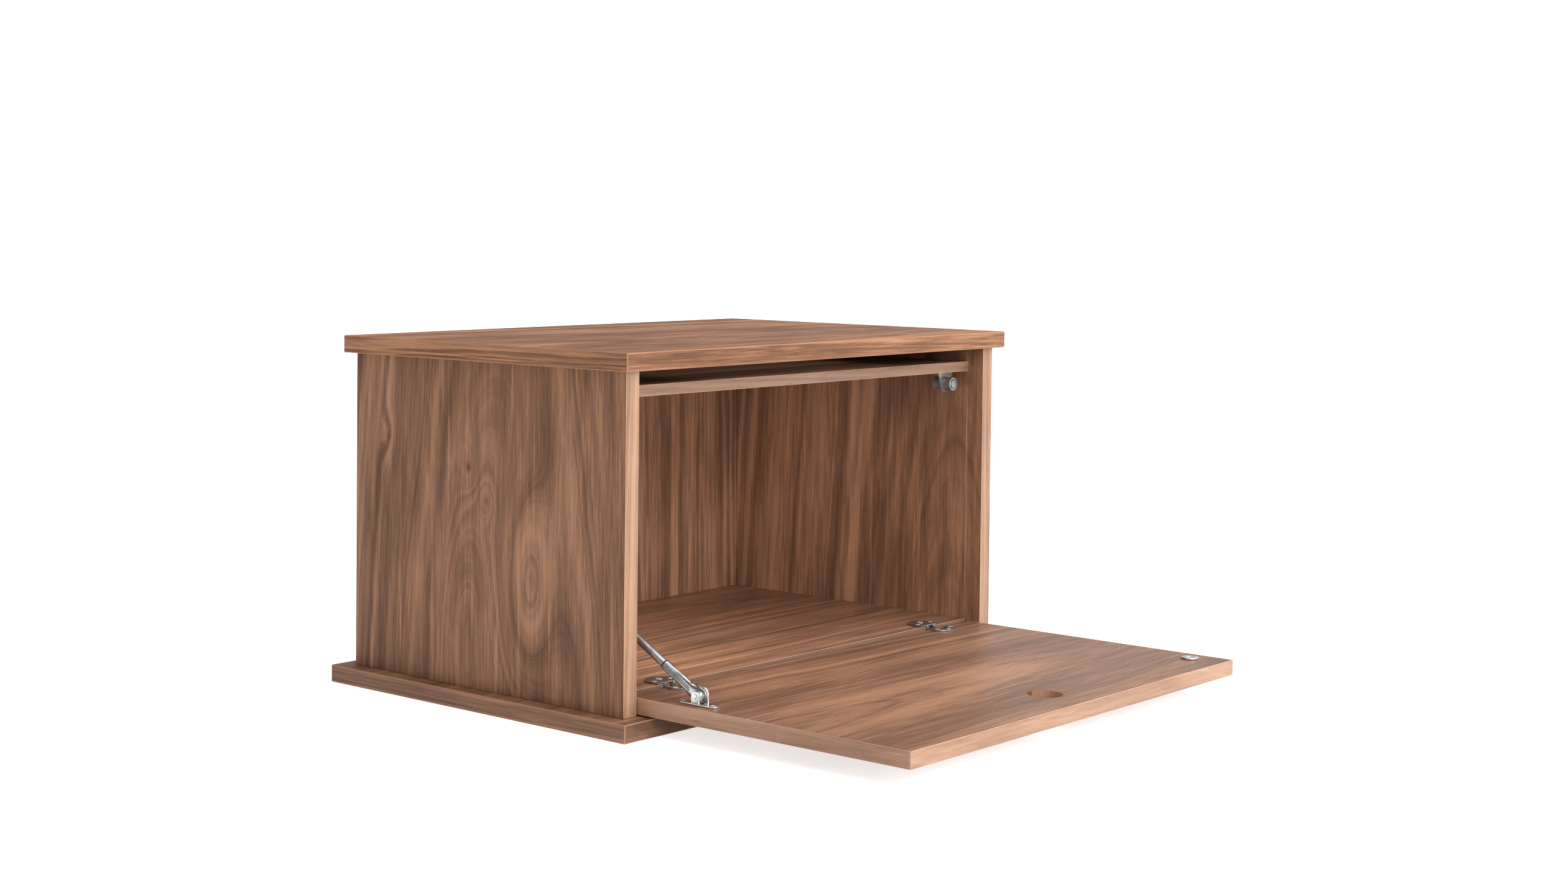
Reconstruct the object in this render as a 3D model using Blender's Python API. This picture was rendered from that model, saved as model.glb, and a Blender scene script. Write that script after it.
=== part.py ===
"""Walnut cube storage unit with a drop-down flap, modelled as separate pieces.

The unit stands on its base board with the middle of that board's underside at the origin.
+X is to the right, -Y is to the front and +Z is up. All sizes are in metres.
The flap is modelled fully open, lying level in front of the cabinet.
"""
import math

import bmesh
import bpy
from mathutils import Matrix, Vector

# ---- driving sizes -------------------------------------------------------------------
BODY_WIDTH = 0.614          # over the outer faces of the two sides
BODY_DEPTH = 0.378          # of the sides, front to back
SIDE_HEIGHT = 0.326
SIDE_THICKNESS = 0.018
TOP_THICKNESS = 0.018
TOP_OVERHANG = 0.010
BASE_THICKNESS = 0.018
BASE_OVERHANG = 0.018
FLOOR_THICKNESS = 0.019
INNER_TOP_THICKNESS = 0.011
INNER_TOP_DROP = 0.016      # open slot between the top and the inner top
BACK_THICKNESS = 0.018
BACK_RECESS = 0.005
BAND_THICKNESS = 0.001      # veneer strips glued on the board edges
FLAP_THICKNESS = 0.016
FLAP_SIDE_CLEARANCE = 0.002
FLAP_BOTTOM_CLEARANCE = 0.002   # above the base when closed
FLAP_TOP_CLEARANCE = 0.002      # below the top when closed
FLAP_OPEN_LIFT = 0.0015         # above the base when open
FLAP_PIVOT_BACK = 0.00525       # pivot line behind the front plane of the sides
FLAP_HEEL_RADIUS = 0.004        # rounding of the flap's lower outer edge
SET_BACK_CLEARANCE = 0.0033     # between the closed flap and the boards behind it
FINGER_HOLE_DIAMETER = 0.035
FINGER_HOLE_INSET = 0.047       # centre from the flap's free edge
ARRIS = 0.0010                  # softened edges of the boards
GAP = 0.0003                    # between pieces that touch

# ---- fittings ------------------------------------------------------------------------
HINGE_INSET = 0.069             # hinge centre from the inner face of a side
HINGE_WIDTH = 0.035
HINGE_DEPTH = 0.026             # plate on the floor
HINGE_FLAP_DEPTH = 0.018        # plate on the flap
HINGE_PLATE = 0.0016
HINGE_ARM_INNER = 0.0045        # faces of the two arms from the hinge's middle
HINGE_ARM_OUTER = 0.0080
HINGE_ARM_LOW = 0.0013          # arm below and above the pivot line
HINGE_ARM_HIGH = 0.0016
HINGE_ARM_RUN = 0.0065          # straight part of the arm before its bend
HINGE_ARM_FACE = 0.0130         # upright part of the arm behind the pivot line
HINGE_ARM_BACK = 0.0159
HINGE_LUG = 0.0022
HINGE_KNUCKLE_RADIUS = 0.0036
HINGE_PIN_DIAMETER = 0.0030
HINGE_PLATE_SET_IN = 0.0030     # flap plate's back edge from the flap's heel
HINGE_SLOT_REACH = 0.0075       # slot in front of the pivot line, for the arms
HINGE_SCREW_SPREAD = 0.0240
HINGE_SCREW_INSET = 0.0080
HINGE_FLAP_SCREW_INSET = 0.0065

STAY_INSET = 0.0170             # stay's middle plane from the inner face of the left side
STAY_BRACKET_FRONT = 0.062      # stay's flap pivot in front of the sides
STAY_PIVOT_RISE = 0.0092        # flap pivot above the flap's face
STAY_SLOPE = math.radians(29.5)
STAY_LENGTH = 0.300             # pivot to pivot, flap open
STAY_ROD_DIAMETER = 0.0080
STAY_SLEEVE_WALL = 0.0007
STAY_SLEEVE_LENGTH = 0.0370
STAY_SLEEVE_START = 0.0095
STAY_SLEEVE_PLUG = 0.0045       # solid end of the sleeve
STAY_RING_LENGTH = 0.0015
STAY_CYLINDER_WALL = 0.0017
STAY_CYLINDER_LENGTH = 0.130
STAY_CYLINDER_CAP = 0.005
STAY_EYE_REACH = 0.012
STAY_EYE_THICKNESS = 0.0040
STAY_EYE_RADIUS = 0.0045
STAY_PIN_DIAMETER = 0.0040
STAY_END_SPACE = 0.0015         # rod tip from the cylinder's cap when closed
BRACKET_LENGTH = 0.046
BRACKET_WIDTH = 0.011
BRACKET_PLATE = 0.0018
BRACKET_EAR = 0.0013
BRACKET_EAR_RADIUS = 0.0085
BRACKET_EAR_CLEARANCE = 0.0004  # between an ear and the flat end of the sleeve
BRACKET_NEAR_EAR_RADIUS = 0.0046
BRACKET_SCREW_SPREAD = 0.036
SIDE_BRACKET_LENGTH = 0.044
SIDE_BRACKET_WIDTH = 0.014
SIDE_BRACKET_PLATE = 0.0015
SIDE_BRACKET_SCREW_SPREAD = 0.030

CATCH_INSET = 0.0295            # catch axis from the inner face of the right side
CATCH_BODY_DIAMETER = 0.015
CATCH_BODY_LENGTH = 0.0255
CATCH_BODY_SET_IN = 0.0004      # body's face behind the plunger's face
CATCH_RIM = 0.0013              # wall of the rim round the body's face
CATCH_FACE_GROOVE = 0.0012
CATCH_PLUNGER_DIAMETER = 0.0090
CATCH_PLUNGER_LENGTH = 0.013
CATCH_TRAVEL = 0.004
CATCH_DROP = 0.0135             # catch axis below the inner top
CATCH_PLATE = 0.0014
CATCH_PLATE_BACK = 0.0110       # bracket's upright plate behind the body's face
CATCH_PLATE_WIDTH = 0.026
CATCH_PLATE_DEPTH = 0.014       # of the part against the inner top
CATCH_PLATE_SHOULDER = 0.0034   # height of the upright plate at its full width
CATCH_COLLAR = 0.0012           # wall of the bracket below the body
CATCH_SCREW_INSET = 0.0035
CATCH_TOUCH = 0.0006            # plunger's face from the striker when closed
STRIKER_DIAMETER = 0.018
STRIKER_THICKNESS = 0.0020
STRIKER_RISE = 0.0040           # striker's centre above the catch axis when shut

SCREW_HEAD_RADIUS = 0.0029
SCREW_SHANK_RADIUS = 0.0014
SCREW_HEAD_DEPTH = 0.0015
SCREW_LENGTH = 0.0105
SCREW_RECESS_RADIUS = 0.0012
SCREW_RECESS_DEPTH = 0.0008

DOWEL_DIAMETER = 0.008
DOWEL_LENGTH = 0.026
DOWEL_BASE_DEPTH = 0.012        # share of the dowel in the base or in the top
DOWEL_INSET = 0.060             # from the front and back edges of a side
SIDE_DOWEL_DIAMETER = 0.006
SIDE_DOWEL_LENGTH = 0.022
SIDE_DOWEL_DEPTH = 0.011        # share of the small dowel in a side

ROUND = 32                      # facets of a large round piece
SMALL_ROUND = 16                # facets of a small one

# ---- derived places ------------------------------------------------------------------
LEFT_OUT = -BODY_WIDTH / 2
LEFT_IN = LEFT_OUT + SIDE_THICKNESS
RIGHT_OUT = BODY_WIDTH / 2
RIGHT_IN = RIGHT_OUT - SIDE_THICKNESS
FRONT = -BODY_DEPTH / 2
BACK = BODY_DEPTH / 2
BASE_TOP = BASE_THICKNESS
SIDE_LOW = BASE_TOP + GAP
SIDE_HIGH = SIDE_LOW + SIDE_HEIGHT
TOP_LOW = SIDE_HIGH + GAP
TOP_HIGH = TOP_LOW + TOP_THICKNESS
BACK_INNER = BACK - BACK_RECESS - BACK_THICKNESS
SET_BACK = FRONT + FLAP_THICKNESS + SET_BACK_CLEARANCE
FLOOR_LOW = BASE_TOP + GAP
FLOOR_HIGH = FLOOR_LOW + FLOOR_THICKNESS
INNER_TOP_HIGH = TOP_LOW - INNER_TOP_DROP
INNER_TOP_LOW = INNER_TOP_HIGH - INNER_TOP_THICKNESS

PIVOT_Y = FRONT + FLAP_PIVOT_BACK
PIVOT_Z = BASE_TOP + FLAP_OPEN_LIFT + FLAP_PIVOT_BACK
FLAP_LOW = BASE_TOP + FLAP_OPEN_LIFT
FLAP_FACE = FLAP_LOW + FLAP_THICKNESS
FLAP_HEIGHT = TOP_LOW - BASE_TOP - FLAP_BOTTOM_CLEARANCE - FLAP_TOP_CLEARANCE
FLAP_HEEL = PIVOT_Y + (PIVOT_Z - BASE_TOP - FLAP_BOTTOM_CLEARANCE)
FLAP_TIP = FLAP_HEEL - FLAP_HEIGHT
FLAP_LEFT = LEFT_IN + FLAP_SIDE_CLEARANCE
FLAP_RIGHT = RIGHT_IN - FLAP_SIDE_CLEARANCE
FLAP_PIVOT = Vector((0.0, PIVOT_Y, PIVOT_Z))
HINGE_CENTRES = {"left": LEFT_IN + HINGE_INSET, "right": RIGHT_IN - HINGE_INSET}

STAY_X = LEFT_IN + STAY_INSET
STAY_FLAP_PIVOT = Vector((STAY_X, FRONT - STAY_BRACKET_FRONT, FLAP_FACE + STAY_PIVOT_RISE))
STAY_DIRECTION = Vector((0.0, math.cos(STAY_SLOPE), math.sin(STAY_SLOPE)))
STAY_SIDE_PIVOT = STAY_FLAP_PIVOT + STAY_DIRECTION * STAY_LENGTH


def closed_place(point):
    """Where a point of the open flap comes to when the flap is shut."""
    reach = point.y - PIVOT_Y
    rise = point.z - PIVOT_Z
    return Vector((point.x, PIVOT_Y + rise, PIVOT_Z - reach))


STAY_CLOSED_LENGTH = (closed_place(STAY_FLAP_PIVOT) - STAY_SIDE_PIVOT).length
STAY_STROKE = STAY_LENGTH - STAY_CLOSED_LENGTH
STAY_CYLINDER_END = STAY_LENGTH - STAY_EYE_REACH
STAY_CYLINDER_START = STAY_CYLINDER_END - STAY_CYLINDER_LENGTH
STAY_ROD_END = STAY_CYLINDER_END - STAY_CYLINDER_CAP - STAY_STROKE - STAY_END_SPACE
STAY_SLEEVE_END = STAY_SLEEVE_START + STAY_SLEEVE_LENGTH
STAY_SLEEVE_EYE_THICKNESS = BRACKET_WIDTH - 2 * (GAP + BRACKET_EAR + BRACKET_EAR_CLEARANCE)

CATCH_X = RIGHT_IN - CATCH_INSET
CATCH_Z = INNER_TOP_LOW - CATCH_DROP
STRIKER_Y = PIVOT_Y - (CATCH_Z - PIVOT_Z) - STRIKER_RISE
STRIKER_TOP = FLAP_FACE + GAP + STRIKER_THICKNESS
PLUNGER_FACE = PIVOT_Y + (STRIKER_TOP - PIVOT_Z) + CATCH_TOUCH
CATCH_BODY_FACE = PLUNGER_FACE + CATCH_BODY_SET_IN

# ---- finishes: colour, roughness, metallic -------------------------------------------
WALNUT = ((0.235, 0.118, 0.066), 0.48, 0.0)
WALNUT_EDGE = ((0.335, 0.185, 0.110), 0.50, 0.0)
BEECH = ((0.62, 0.44, 0.27), 0.60, 0.0)
NICKEL = ((0.63, 0.64, 0.65), 0.22, 1.0)
ZINC = ((0.34, 0.36, 0.37), 0.42, 0.9)
STEEL = ((0.55, 0.56, 0.58), 0.30, 1.0)
RUBBER = ((0.03, 0.03, 0.03), 0.70, 0.0)


# ---- helpers -------------------------------------------------------------------------
def clear_scene():
    """Remove every object that the file opened with."""
    for item in list(bpy.data.objects):
        bpy.data.objects.remove(item, do_unlink=True)


def add_pivot(name, place):
    """An empty that carries the pieces turning or sliding about a place."""
    empty = bpy.data.objects.new(name, None)
    empty.location = place
    empty.empty_display_size = 0.02
    bpy.context.collection.objects.link(empty)
    return empty


def add_finish(item, finish):
    """Give a piece its own Principled material."""
    colour, roughness, metallic = finish
    material = bpy.data.materials.new(item.name + "_finish")
    material.use_nodes = True
    shader = material.node_tree.nodes["Principled BSDF"]
    shader.inputs["Base Color"].default_value = (*colour, 1.0)
    shader.inputs["Roughness"].default_value = roughness
    shader.inputs["Metallic"].default_value = metallic
    item.data.materials.append(material)


def add_piece(name, shape, finish, parent=None, smooth=False):
    """Turn a bmesh in world places into a named object under its parent."""
    bmesh.ops.recalc_face_normals(shape, faces=shape.faces)
    if parent is not None:
        bmesh.ops.translate(shape, vec=-parent.location, verts=shape.verts)
    mesh = bpy.data.meshes.new(name)
    shape.to_mesh(mesh)
    shape.free()
    item = bpy.data.objects.new(name, mesh)
    item.parent = parent
    bpy.context.collection.objects.link(item)
    if smooth:
        mesh.shade_smooth()
        mesh.set_sharp_from_angle(angle=math.radians(35))
    if finish is not None:
        add_finish(item, finish)
    return item


def add_cutter(name, shape):
    """A hidden solid that other pieces are cut with."""
    item = add_piece(name, shape, None)
    item.hide_render = True
    item.display_type = "WIRE"
    return item


def combine(item, other, operation="DIFFERENCE"):
    """Cut a piece with a hidden solid, or join the solid to it."""
    modifier = item.modifiers.new(other.name, "BOOLEAN")
    modifier.operation = operation
    modifier.solver = "EXACT"
    modifier.object = other
    return modifier


def box_shape(low, high, arris=0.0):
    """A box between two corners, with softened edges."""
    shape = bmesh.new()
    bmesh.ops.create_cube(shape, size=1.0)
    size = Vector(high) - Vector(low)
    centre = (Vector(high) + Vector(low)) / 2
    bmesh.ops.scale(shape, vec=size, verts=shape.verts)
    bmesh.ops.translate(shape, vec=centre, verts=shape.verts)
    if arris > 0.0:
        width = min(arris, min(size) / 3)
        bmesh.ops.bevel(
            shape, geom=shape.edges[:], offset=width, segments=2, profile=0.5, affect="EDGES"
        )
    return shape


def prism_shape(outline, depth_vector, frame):
    """Extrude a flat outline, given in the frame's own X and Y, along a vector."""
    shape = bmesh.new()
    corners = [shape.verts.new(frame @ Vector((u, v, 0.0))) for u, v in outline]
    face = shape.faces.new(corners)
    grown = bmesh.ops.extrude_face_region(shape, geom=[face])
    moved = [item for item in grown["geom"] if isinstance(item, bmesh.types.BMVert)]
    bmesh.ops.translate(shape, vec=depth_vector, verts=moved)
    return shape


def turned_shape(profile, origin, direction, facets):
    """Turn a profile of (radius, height) points about an axis. A radius of 0 closes an end."""
    shape = bmesh.new()
    turn = Vector(direction).to_track_quat("Z", "Y").to_matrix().to_4x4()
    frame = Matrix.Translation(origin) @ turn
    rings = []
    for radius, height in profile:
        count = 1 if radius == 0.0 else facets
        angles = [2 * math.pi * step / facets for step in range(count)]
        places = [(radius * math.cos(a), radius * math.sin(a), height) for a in angles]
        rings.append([shape.verts.new(frame @ Vector(place)) for place in places])
    closed_loop = profile[0][0] != 0.0
    pairs = list(zip(rings, rings[1:]))
    if closed_loop:
        pairs.append((rings[-1], rings[0]))
    for first, second in pairs:
        for step in range(facets):
            after = (step + 1) % facets
            corners = []
            for ring, index in ((first, step), (first, after), (second, after), (second, step)):
                vertex = ring[0] if len(ring) == 1 else ring[index]
                if vertex not in corners:
                    corners.append(vertex)
            shape.faces.new(corners)
    return shape


def cylinder_shape(radius, start, end, facets):
    """A solid cylinder between two points."""
    length = (Vector(end) - Vector(start)).length
    profile = [(0.0, 0.0), (radius, 0.0), (radius, length), (0.0, length)]
    return turned_shape(profile, start, Vector(end) - Vector(start), facets)


def plane_frame(origin, across, along):
    """A frame whose X and Y run along two given directions."""
    first = Vector(across).normalized()
    second = Vector(along).normalized()
    third = first.cross(second)
    rotation = Matrix((first, second, third)).transposed().to_4x4()
    return Matrix.Translation(origin) @ rotation


def arc(centre, radius, start, end, steps):
    """Points on an arc between two angles in degrees, both ends included."""
    points = []
    for step in range(steps + 1):
        angle = math.radians(start + (end - start) * step / steps)
        points.append((centre[0] + radius * math.cos(angle), centre[1] + radius * math.sin(angle)))
    return points


def add_screw(name, seat, direction, finish, cut_pieces, parent=None):
    """A countersunk screw with its head at the seat, and the holes it needs."""
    head = SCREW_HEAD_RADIUS
    shank = SCREW_SHANK_RADIUS
    deep = SCREW_HEAD_DEPTH
    recess = SCREW_RECESS_DEPTH
    profile = [
        (0.0, recess), (SCREW_RECESS_RADIUS * 0.7, recess), (SCREW_RECESS_RADIUS, 0.0), (head, 0.0),
        (shank, deep), (shank, SCREW_LENGTH - shank), (0.0, SCREW_LENGTH),
    ]
    add_piece(name, turned_shape(profile, seat, direction, 12), finish, parent, smooth=True)
    wide = head + GAP
    narrow = shank + GAP
    hole = [
        (0.0, -0.002), (wide, -0.002), (wide, GAP), (narrow, deep + GAP),
        (narrow, SCREW_LENGTH + GAP), (0.0, SCREW_LENGTH + GAP),
    ]
    cutter = add_cutter("cut_" + name, turned_shape(hole, seat, direction, 12))
    for piece in cut_pieces:
        combine(piece, cutter)


def add_dowel(name, centre, direction, radius, length, cut_pieces):
    """A grooveless wooden dowel across a joint, and the two blind bores that hold it."""
    along = Vector(direction) * (length / 2)
    chamfer = radius * 0.2
    profile = [
        (0.0, 0.0), (radius - chamfer, 0.0), (radius, chamfer),
        (radius, length - chamfer), (radius - chamfer, length), (0.0, length),
    ]
    start = Vector(centre) - along
    add_piece(name, turned_shape(profile, start, direction, SMALL_ROUND), BEECH, smooth=True)
    spare = Vector(direction) * GAP
    bore = cylinder_shape(radius + GAP, start - spare, Vector(centre) + along + spare, SMALL_ROUND)
    cutter = add_cutter("cut_" + name, bore)
    for piece in cut_pieces:
        combine(piece, cutter)


# ---- cabinet -------------------------------------------------------------------------
def add_board_with_bands(name, low, high, bands, parent=None):
    """A veneered board and the strips on the named edges. Returns the board."""
    low = Vector(low)
    high = Vector(high)
    board_low = low.copy()
    board_high = high.copy()
    room = BAND_THICKNESS + GAP
    if "front" in bands:
        board_low.y += room
    if "left" in bands:
        board_low.x += room
    if "right" in bands:
        board_high.x -= room
    board = add_piece(name, box_shape(board_low, board_high), WALNUT, parent)
    for edge in bands:
        strip_low = low.copy()
        strip_high = high.copy()
        if edge == "front":
            strip_high.y = low.y + BAND_THICKNESS
        if edge == "left":
            strip_high.x = low.x + BAND_THICKNESS
            strip_low.y = board_low.y
        if edge == "right":
            strip_low.x = high.x - BAND_THICKNESS
            strip_low.y = board_low.y
        shape = box_shape(strip_low, strip_high, ARRIS / 4)
        add_piece(name + "_" + edge + "_band", shape, WALNUT_EDGE, parent)
    return board


def add_base():
    """The base board that the unit stands on."""
    low = (LEFT_OUT - BASE_OVERHANG, FRONT - BASE_OVERHANG, 0.0)
    high = (RIGHT_OUT + BASE_OVERHANG, BACK + BASE_OVERHANG, BASE_TOP)
    return add_piece("base_board", box_shape(low, high, ARRIS), WALNUT)


def add_top():
    """The top board, which overhangs the sides all round."""
    low = (LEFT_OUT - TOP_OVERHANG, FRONT - TOP_OVERHANG, TOP_LOW)
    high = (RIGHT_OUT + TOP_OVERHANG, BACK + TOP_OVERHANG, TOP_HIGH)
    return add_piece("top_board", box_shape(low, high, ARRIS), WALNUT)


def add_sides():
    """The two upright sides, each with a veneer strip on its front edge."""
    sides = {}
    for hand, low_x in (("left", LEFT_OUT), ("right", RIGHT_IN)):
        low = (low_x, FRONT, SIDE_LOW)
        high = (low_x + SIDE_THICKNESS, BACK, SIDE_HIGH)
        sides[hand] = add_board_with_bands("side_panel_" + hand, low, high, ["front"])
    return sides


def add_inner_boards():
    """The back, the floor and the inner top, which fit between the sides."""
    left = LEFT_IN + GAP
    right = RIGHT_IN - GAP
    back_shape = box_shape((left, BACK_INNER, SIDE_LOW), (right, BACK - BACK_RECESS, SIDE_HIGH))
    back = add_piece("back_panel", back_shape, WALNUT)
    deep = BACK_INNER - GAP
    floor = add_board_with_bands(
        "floor_panel", (left, SET_BACK, FLOOR_LOW), (right, deep, FLOOR_HIGH), ["front"]
    )
    inner_top = add_board_with_bands(
        "inner_top_panel", (left, SET_BACK, INNER_TOP_LOW), (right, deep, INNER_TOP_HIGH), ["front"]
    )
    return back, floor, inner_top


def add_dowels(base, top, sides, inner_top):
    """Dowels that hold the sides to the base and top, and the inner top to the sides."""
    middles = {"left": (LEFT_OUT + LEFT_IN) / 2, "right": (RIGHT_OUT + RIGHT_IN) / 2}
    rows = {"front": FRONT + DOWEL_INSET, "back": BACK - DOWEL_INSET}
    rise = DOWEL_LENGTH / 2 - DOWEL_BASE_DEPTH
    for hand, x in middles.items():
        for row, y in rows.items():
            places = (("base", BASE_TOP + rise, base), ("top", TOP_LOW - rise, top))
            for level, z, board in places:
                add_dowel(
                    "dowel_" + level + "_" + hand + "_" + row, (x, y, z), (0, 0, 1),
                    DOWEL_DIAMETER / 2, DOWEL_LENGTH, (board, sides[hand]),
                )
    inner_z = (INNER_TOP_LOW + INNER_TOP_HIGH) / 2
    shift = SIDE_DOWEL_LENGTH / 2 - SIDE_DOWEL_DEPTH
    for hand, x in (("left", LEFT_IN + shift), ("right", RIGHT_IN - shift)):
        for row, y in rows.items():
            add_dowel(
                "dowel_inner_top_" + hand + "_" + row, (x, y, inner_z), (1, 0, 0),
                SIDE_DOWEL_DIAMETER / 2, SIDE_DOWEL_LENGTH, (inner_top, sides[hand]),
            )


# ---- flap ----------------------------------------------------------------------------
def add_flap(pivot):
    """The flap with its finger hole, and the strips on its three free edges."""
    room = BAND_THICKNESS + GAP
    left = FLAP_LEFT + room
    right = FLAP_RIGHT - room
    tip = FLAP_TIP + room
    heel = (FLAP_HEEL - FLAP_HEEL_RADIUS, FLAP_LOW + FLAP_HEEL_RADIUS)
    outline = [(tip, FLAP_FACE), (tip, FLAP_LOW)]
    outline += arc(heel, FLAP_HEEL_RADIUS, 270, 360, 4)
    outline += [(FLAP_HEEL, FLAP_FACE)]
    frame = plane_frame((left, 0.0, 0.0), (0, 1, 0), (0, 0, 1))
    shape = prism_shape(outline, Vector((right - left, 0.0, 0.0)), frame)
    flap = add_piece("flap_panel", shape, WALNUT, pivot)
    centre_y = FLAP_TIP + FINGER_HOLE_INSET
    over = 0.005
    hole = cylinder_shape(
        FINGER_HOLE_DIAMETER / 2, (0.0, centre_y, FLAP_LOW - over), (0.0, centre_y, FLAP_FACE + over), 48
    )
    combine(flap, add_cutter("cut_finger_hole", hole))
    strip = box_shape(
        (FLAP_LEFT, FLAP_TIP, FLAP_LOW), (FLAP_RIGHT, FLAP_TIP + BAND_THICKNESS, FLAP_FACE), ARRIS / 4
    )
    add_piece("flap_front_band", strip, WALNUT_EDGE, pivot)
    for hand, low_x in (("left", FLAP_LEFT), ("right", FLAP_RIGHT - BAND_THICKNESS)):
        low = (low_x, tip, FLAP_LOW)
        high = (low_x + BAND_THICKNESS, FLAP_HEEL - FLAP_HEEL_RADIUS, FLAP_FACE)
        add_piece("flap_" + hand + "_band", box_shape(low, high, ARRIS / 4), WALNUT_EDGE, pivot)
    return flap


# ---- hinges --------------------------------------------------------------------------
def half_round_outline(width, depth, steps):
    """A plate outline with one straight edge on Y = 0 and a rounded far end."""
    radius = width / 2
    straight = depth - radius
    outline = [(-radius, 0.0)]
    outline += arc((0.0, straight), radius, 180, 0, steps)
    outline += [(radius, 0.0)]
    return outline


def arm_outline(reach, plate_low, plate_top):
    """The side view of a hinge arm, from its knuckle round the bend up to the plate."""
    bend = (HINGE_ARM_RUN, HINGE_ARM_HIGH + HINGE_ARM_FACE - HINGE_ARM_RUN)
    inner = HINGE_ARM_FACE - HINGE_ARM_RUN
    outer = inner + HINGE_ARM_HIGH + HINGE_ARM_LOW
    outline = arc((0.0, 0.0), HINGE_KNUCKLE_RADIUS, 35, 330, 14)
    outline += arc(bend, outer, 270, 360, 8)
    outline += [(HINGE_ARM_BACK, plate_low), (reach + 2 * HINGE_PLATE, plate_top)]
    outline += [(HINGE_ARM_FACE, plate_top)]
    outline += arc(bend, inner, 360, 270, 8)
    return outline


def add_floor_half(name, x, floor):
    """The hinge half on the floor: a plate with two bent arms that reach down to the pin."""
    plate_low = FLOOR_HIGH + GAP
    frame = plane_frame((x, SET_BACK, plate_low), (1, 0, 0), (0, 1, 0))
    outline = half_round_outline(HINGE_WIDTH, HINGE_DEPTH, 14)
    half = add_piece(name, prism_shape(outline, Vector((0, 0, HINGE_PLATE)), frame), NICKEL)
    reach = SET_BACK - PIVOT_Y
    side_view = arm_outline(reach, plate_low - PIVOT_Z, plate_low + HINGE_PLATE - PIVOT_Z)
    arm_width = HINGE_ARM_OUTER - HINGE_ARM_INNER
    for start, hand in ((x - HINGE_ARM_OUTER, "left"), (x + HINGE_ARM_INNER, "right")):
        frame = plane_frame((start, PIVOT_Y, PIVOT_Z), (0, 1, 0), (0, 0, 1))
        arm = prism_shape(side_view, Vector((arm_width, 0, 0)), frame)
        combine(half, add_cutter("join_" + name + "_" + hand, arm), "UNION")
    combine(half, pin_cutter("cut_" + name, x))
    relief_low = (x - HINGE_ARM_OUTER - GAP, SET_BACK - 0.001, PIVOT_Z + HINGE_ARM_HIGH)
    relief_high = (x + HINGE_ARM_OUTER + GAP, PIVOT_Y + HINGE_ARM_BACK + 3 * GAP, FLOOR_HIGH + 0.001)
    relief = add_cutter("relief_" + name, box_shape(relief_low, relief_high))
    combine(floor, relief)
    combine(bpy.data.objects["floor_panel_front_band"], relief)
    return half


def pin_cutter(name, x):
    """The running bore for a hinge pin."""
    side = Vector((HINGE_WIDTH / 2, 0, 0))
    middle = Vector((x, PIVOT_Y, PIVOT_Z))
    radius = HINGE_PIN_DIAMETER / 2 + GAP
    return add_cutter(name, cylinder_shape(radius, middle - side, middle + side, SMALL_ROUND))


def lug_outline(plate_low, plate_top):
    """The side view of a lug that hangs from the flap's plate down to the pin."""
    radius = HINGE_KNUCKLE_RADIUS
    front = -HINGE_SLOT_REACH + GAP
    outline = arc((0.0, 0.0), radius, 165, 375, 12)
    outline += [(0.0012, plate_low / 2), (front + radius, plate_top - GAP)]
    outline += [(front - 2 * HINGE_PLATE, plate_top - GAP), (front - 2 * HINGE_PLATE, plate_low + GAP)]
    outline += [(front, plate_low + GAP), (front, plate_low * 0.7)]
    return outline


def add_flap_half(name, x, flap, pivot):
    """The hinge half on the flap: a slotted plate with two lugs down to the pin."""
    plate_low = FLAP_FACE + GAP
    plate_top = plate_low + HINGE_PLATE
    back_edge = FLAP_HEEL - HINGE_PLATE_SET_IN
    frame = plane_frame((x, back_edge, plate_low), (1, 0, 0), (0, -1, 0))
    outline = half_round_outline(HINGE_WIDTH, HINGE_FLAP_DEPTH, 14)
    half = add_piece(name, prism_shape(outline, Vector((0, 0, HINGE_PLATE)), frame), NICKEL, pivot)
    slot_half = HINGE_ARM_OUTER + GAP
    slot_front = PIVOT_Y - HINGE_SLOT_REACH
    slot_low = (x - slot_half, slot_front, plate_low - 0.001)
    slot_high = (x + slot_half, back_edge + 0.001, plate_top + 0.001)
    combine(half, add_cutter("slot_" + name, box_shape(slot_low, slot_high)))
    side_view = lug_outline(plate_low - PIVOT_Z, plate_top - PIVOT_Z)
    lug_outer = HINGE_ARM_INNER - GAP
    for start, hand in ((x - lug_outer, "left"), (x + lug_outer - HINGE_LUG, "right")):
        frame = plane_frame((start, PIVOT_Y, PIVOT_Z), (0, 1, 0), (0, 0, 1))
        lug = prism_shape(side_view, Vector((HINGE_LUG, 0, 0)), frame)
        combine(half, add_cutter("join_" + name + "_" + hand, lug), "UNION")
    combine(half, pin_cutter("cut_" + name, x))
    notch_half = slot_half + GAP
    notch_low = (x - notch_half, slot_front - GAP, PIVOT_Z - HINGE_KNUCKLE_RADIUS - 2 * GAP)
    notch_high = (x + notch_half, FLAP_HEEL + 0.002, FLAP_FACE + 0.002)
    combine(flap, add_cutter("notch_" + name, box_shape(notch_low, notch_high)))
    return half


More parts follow.
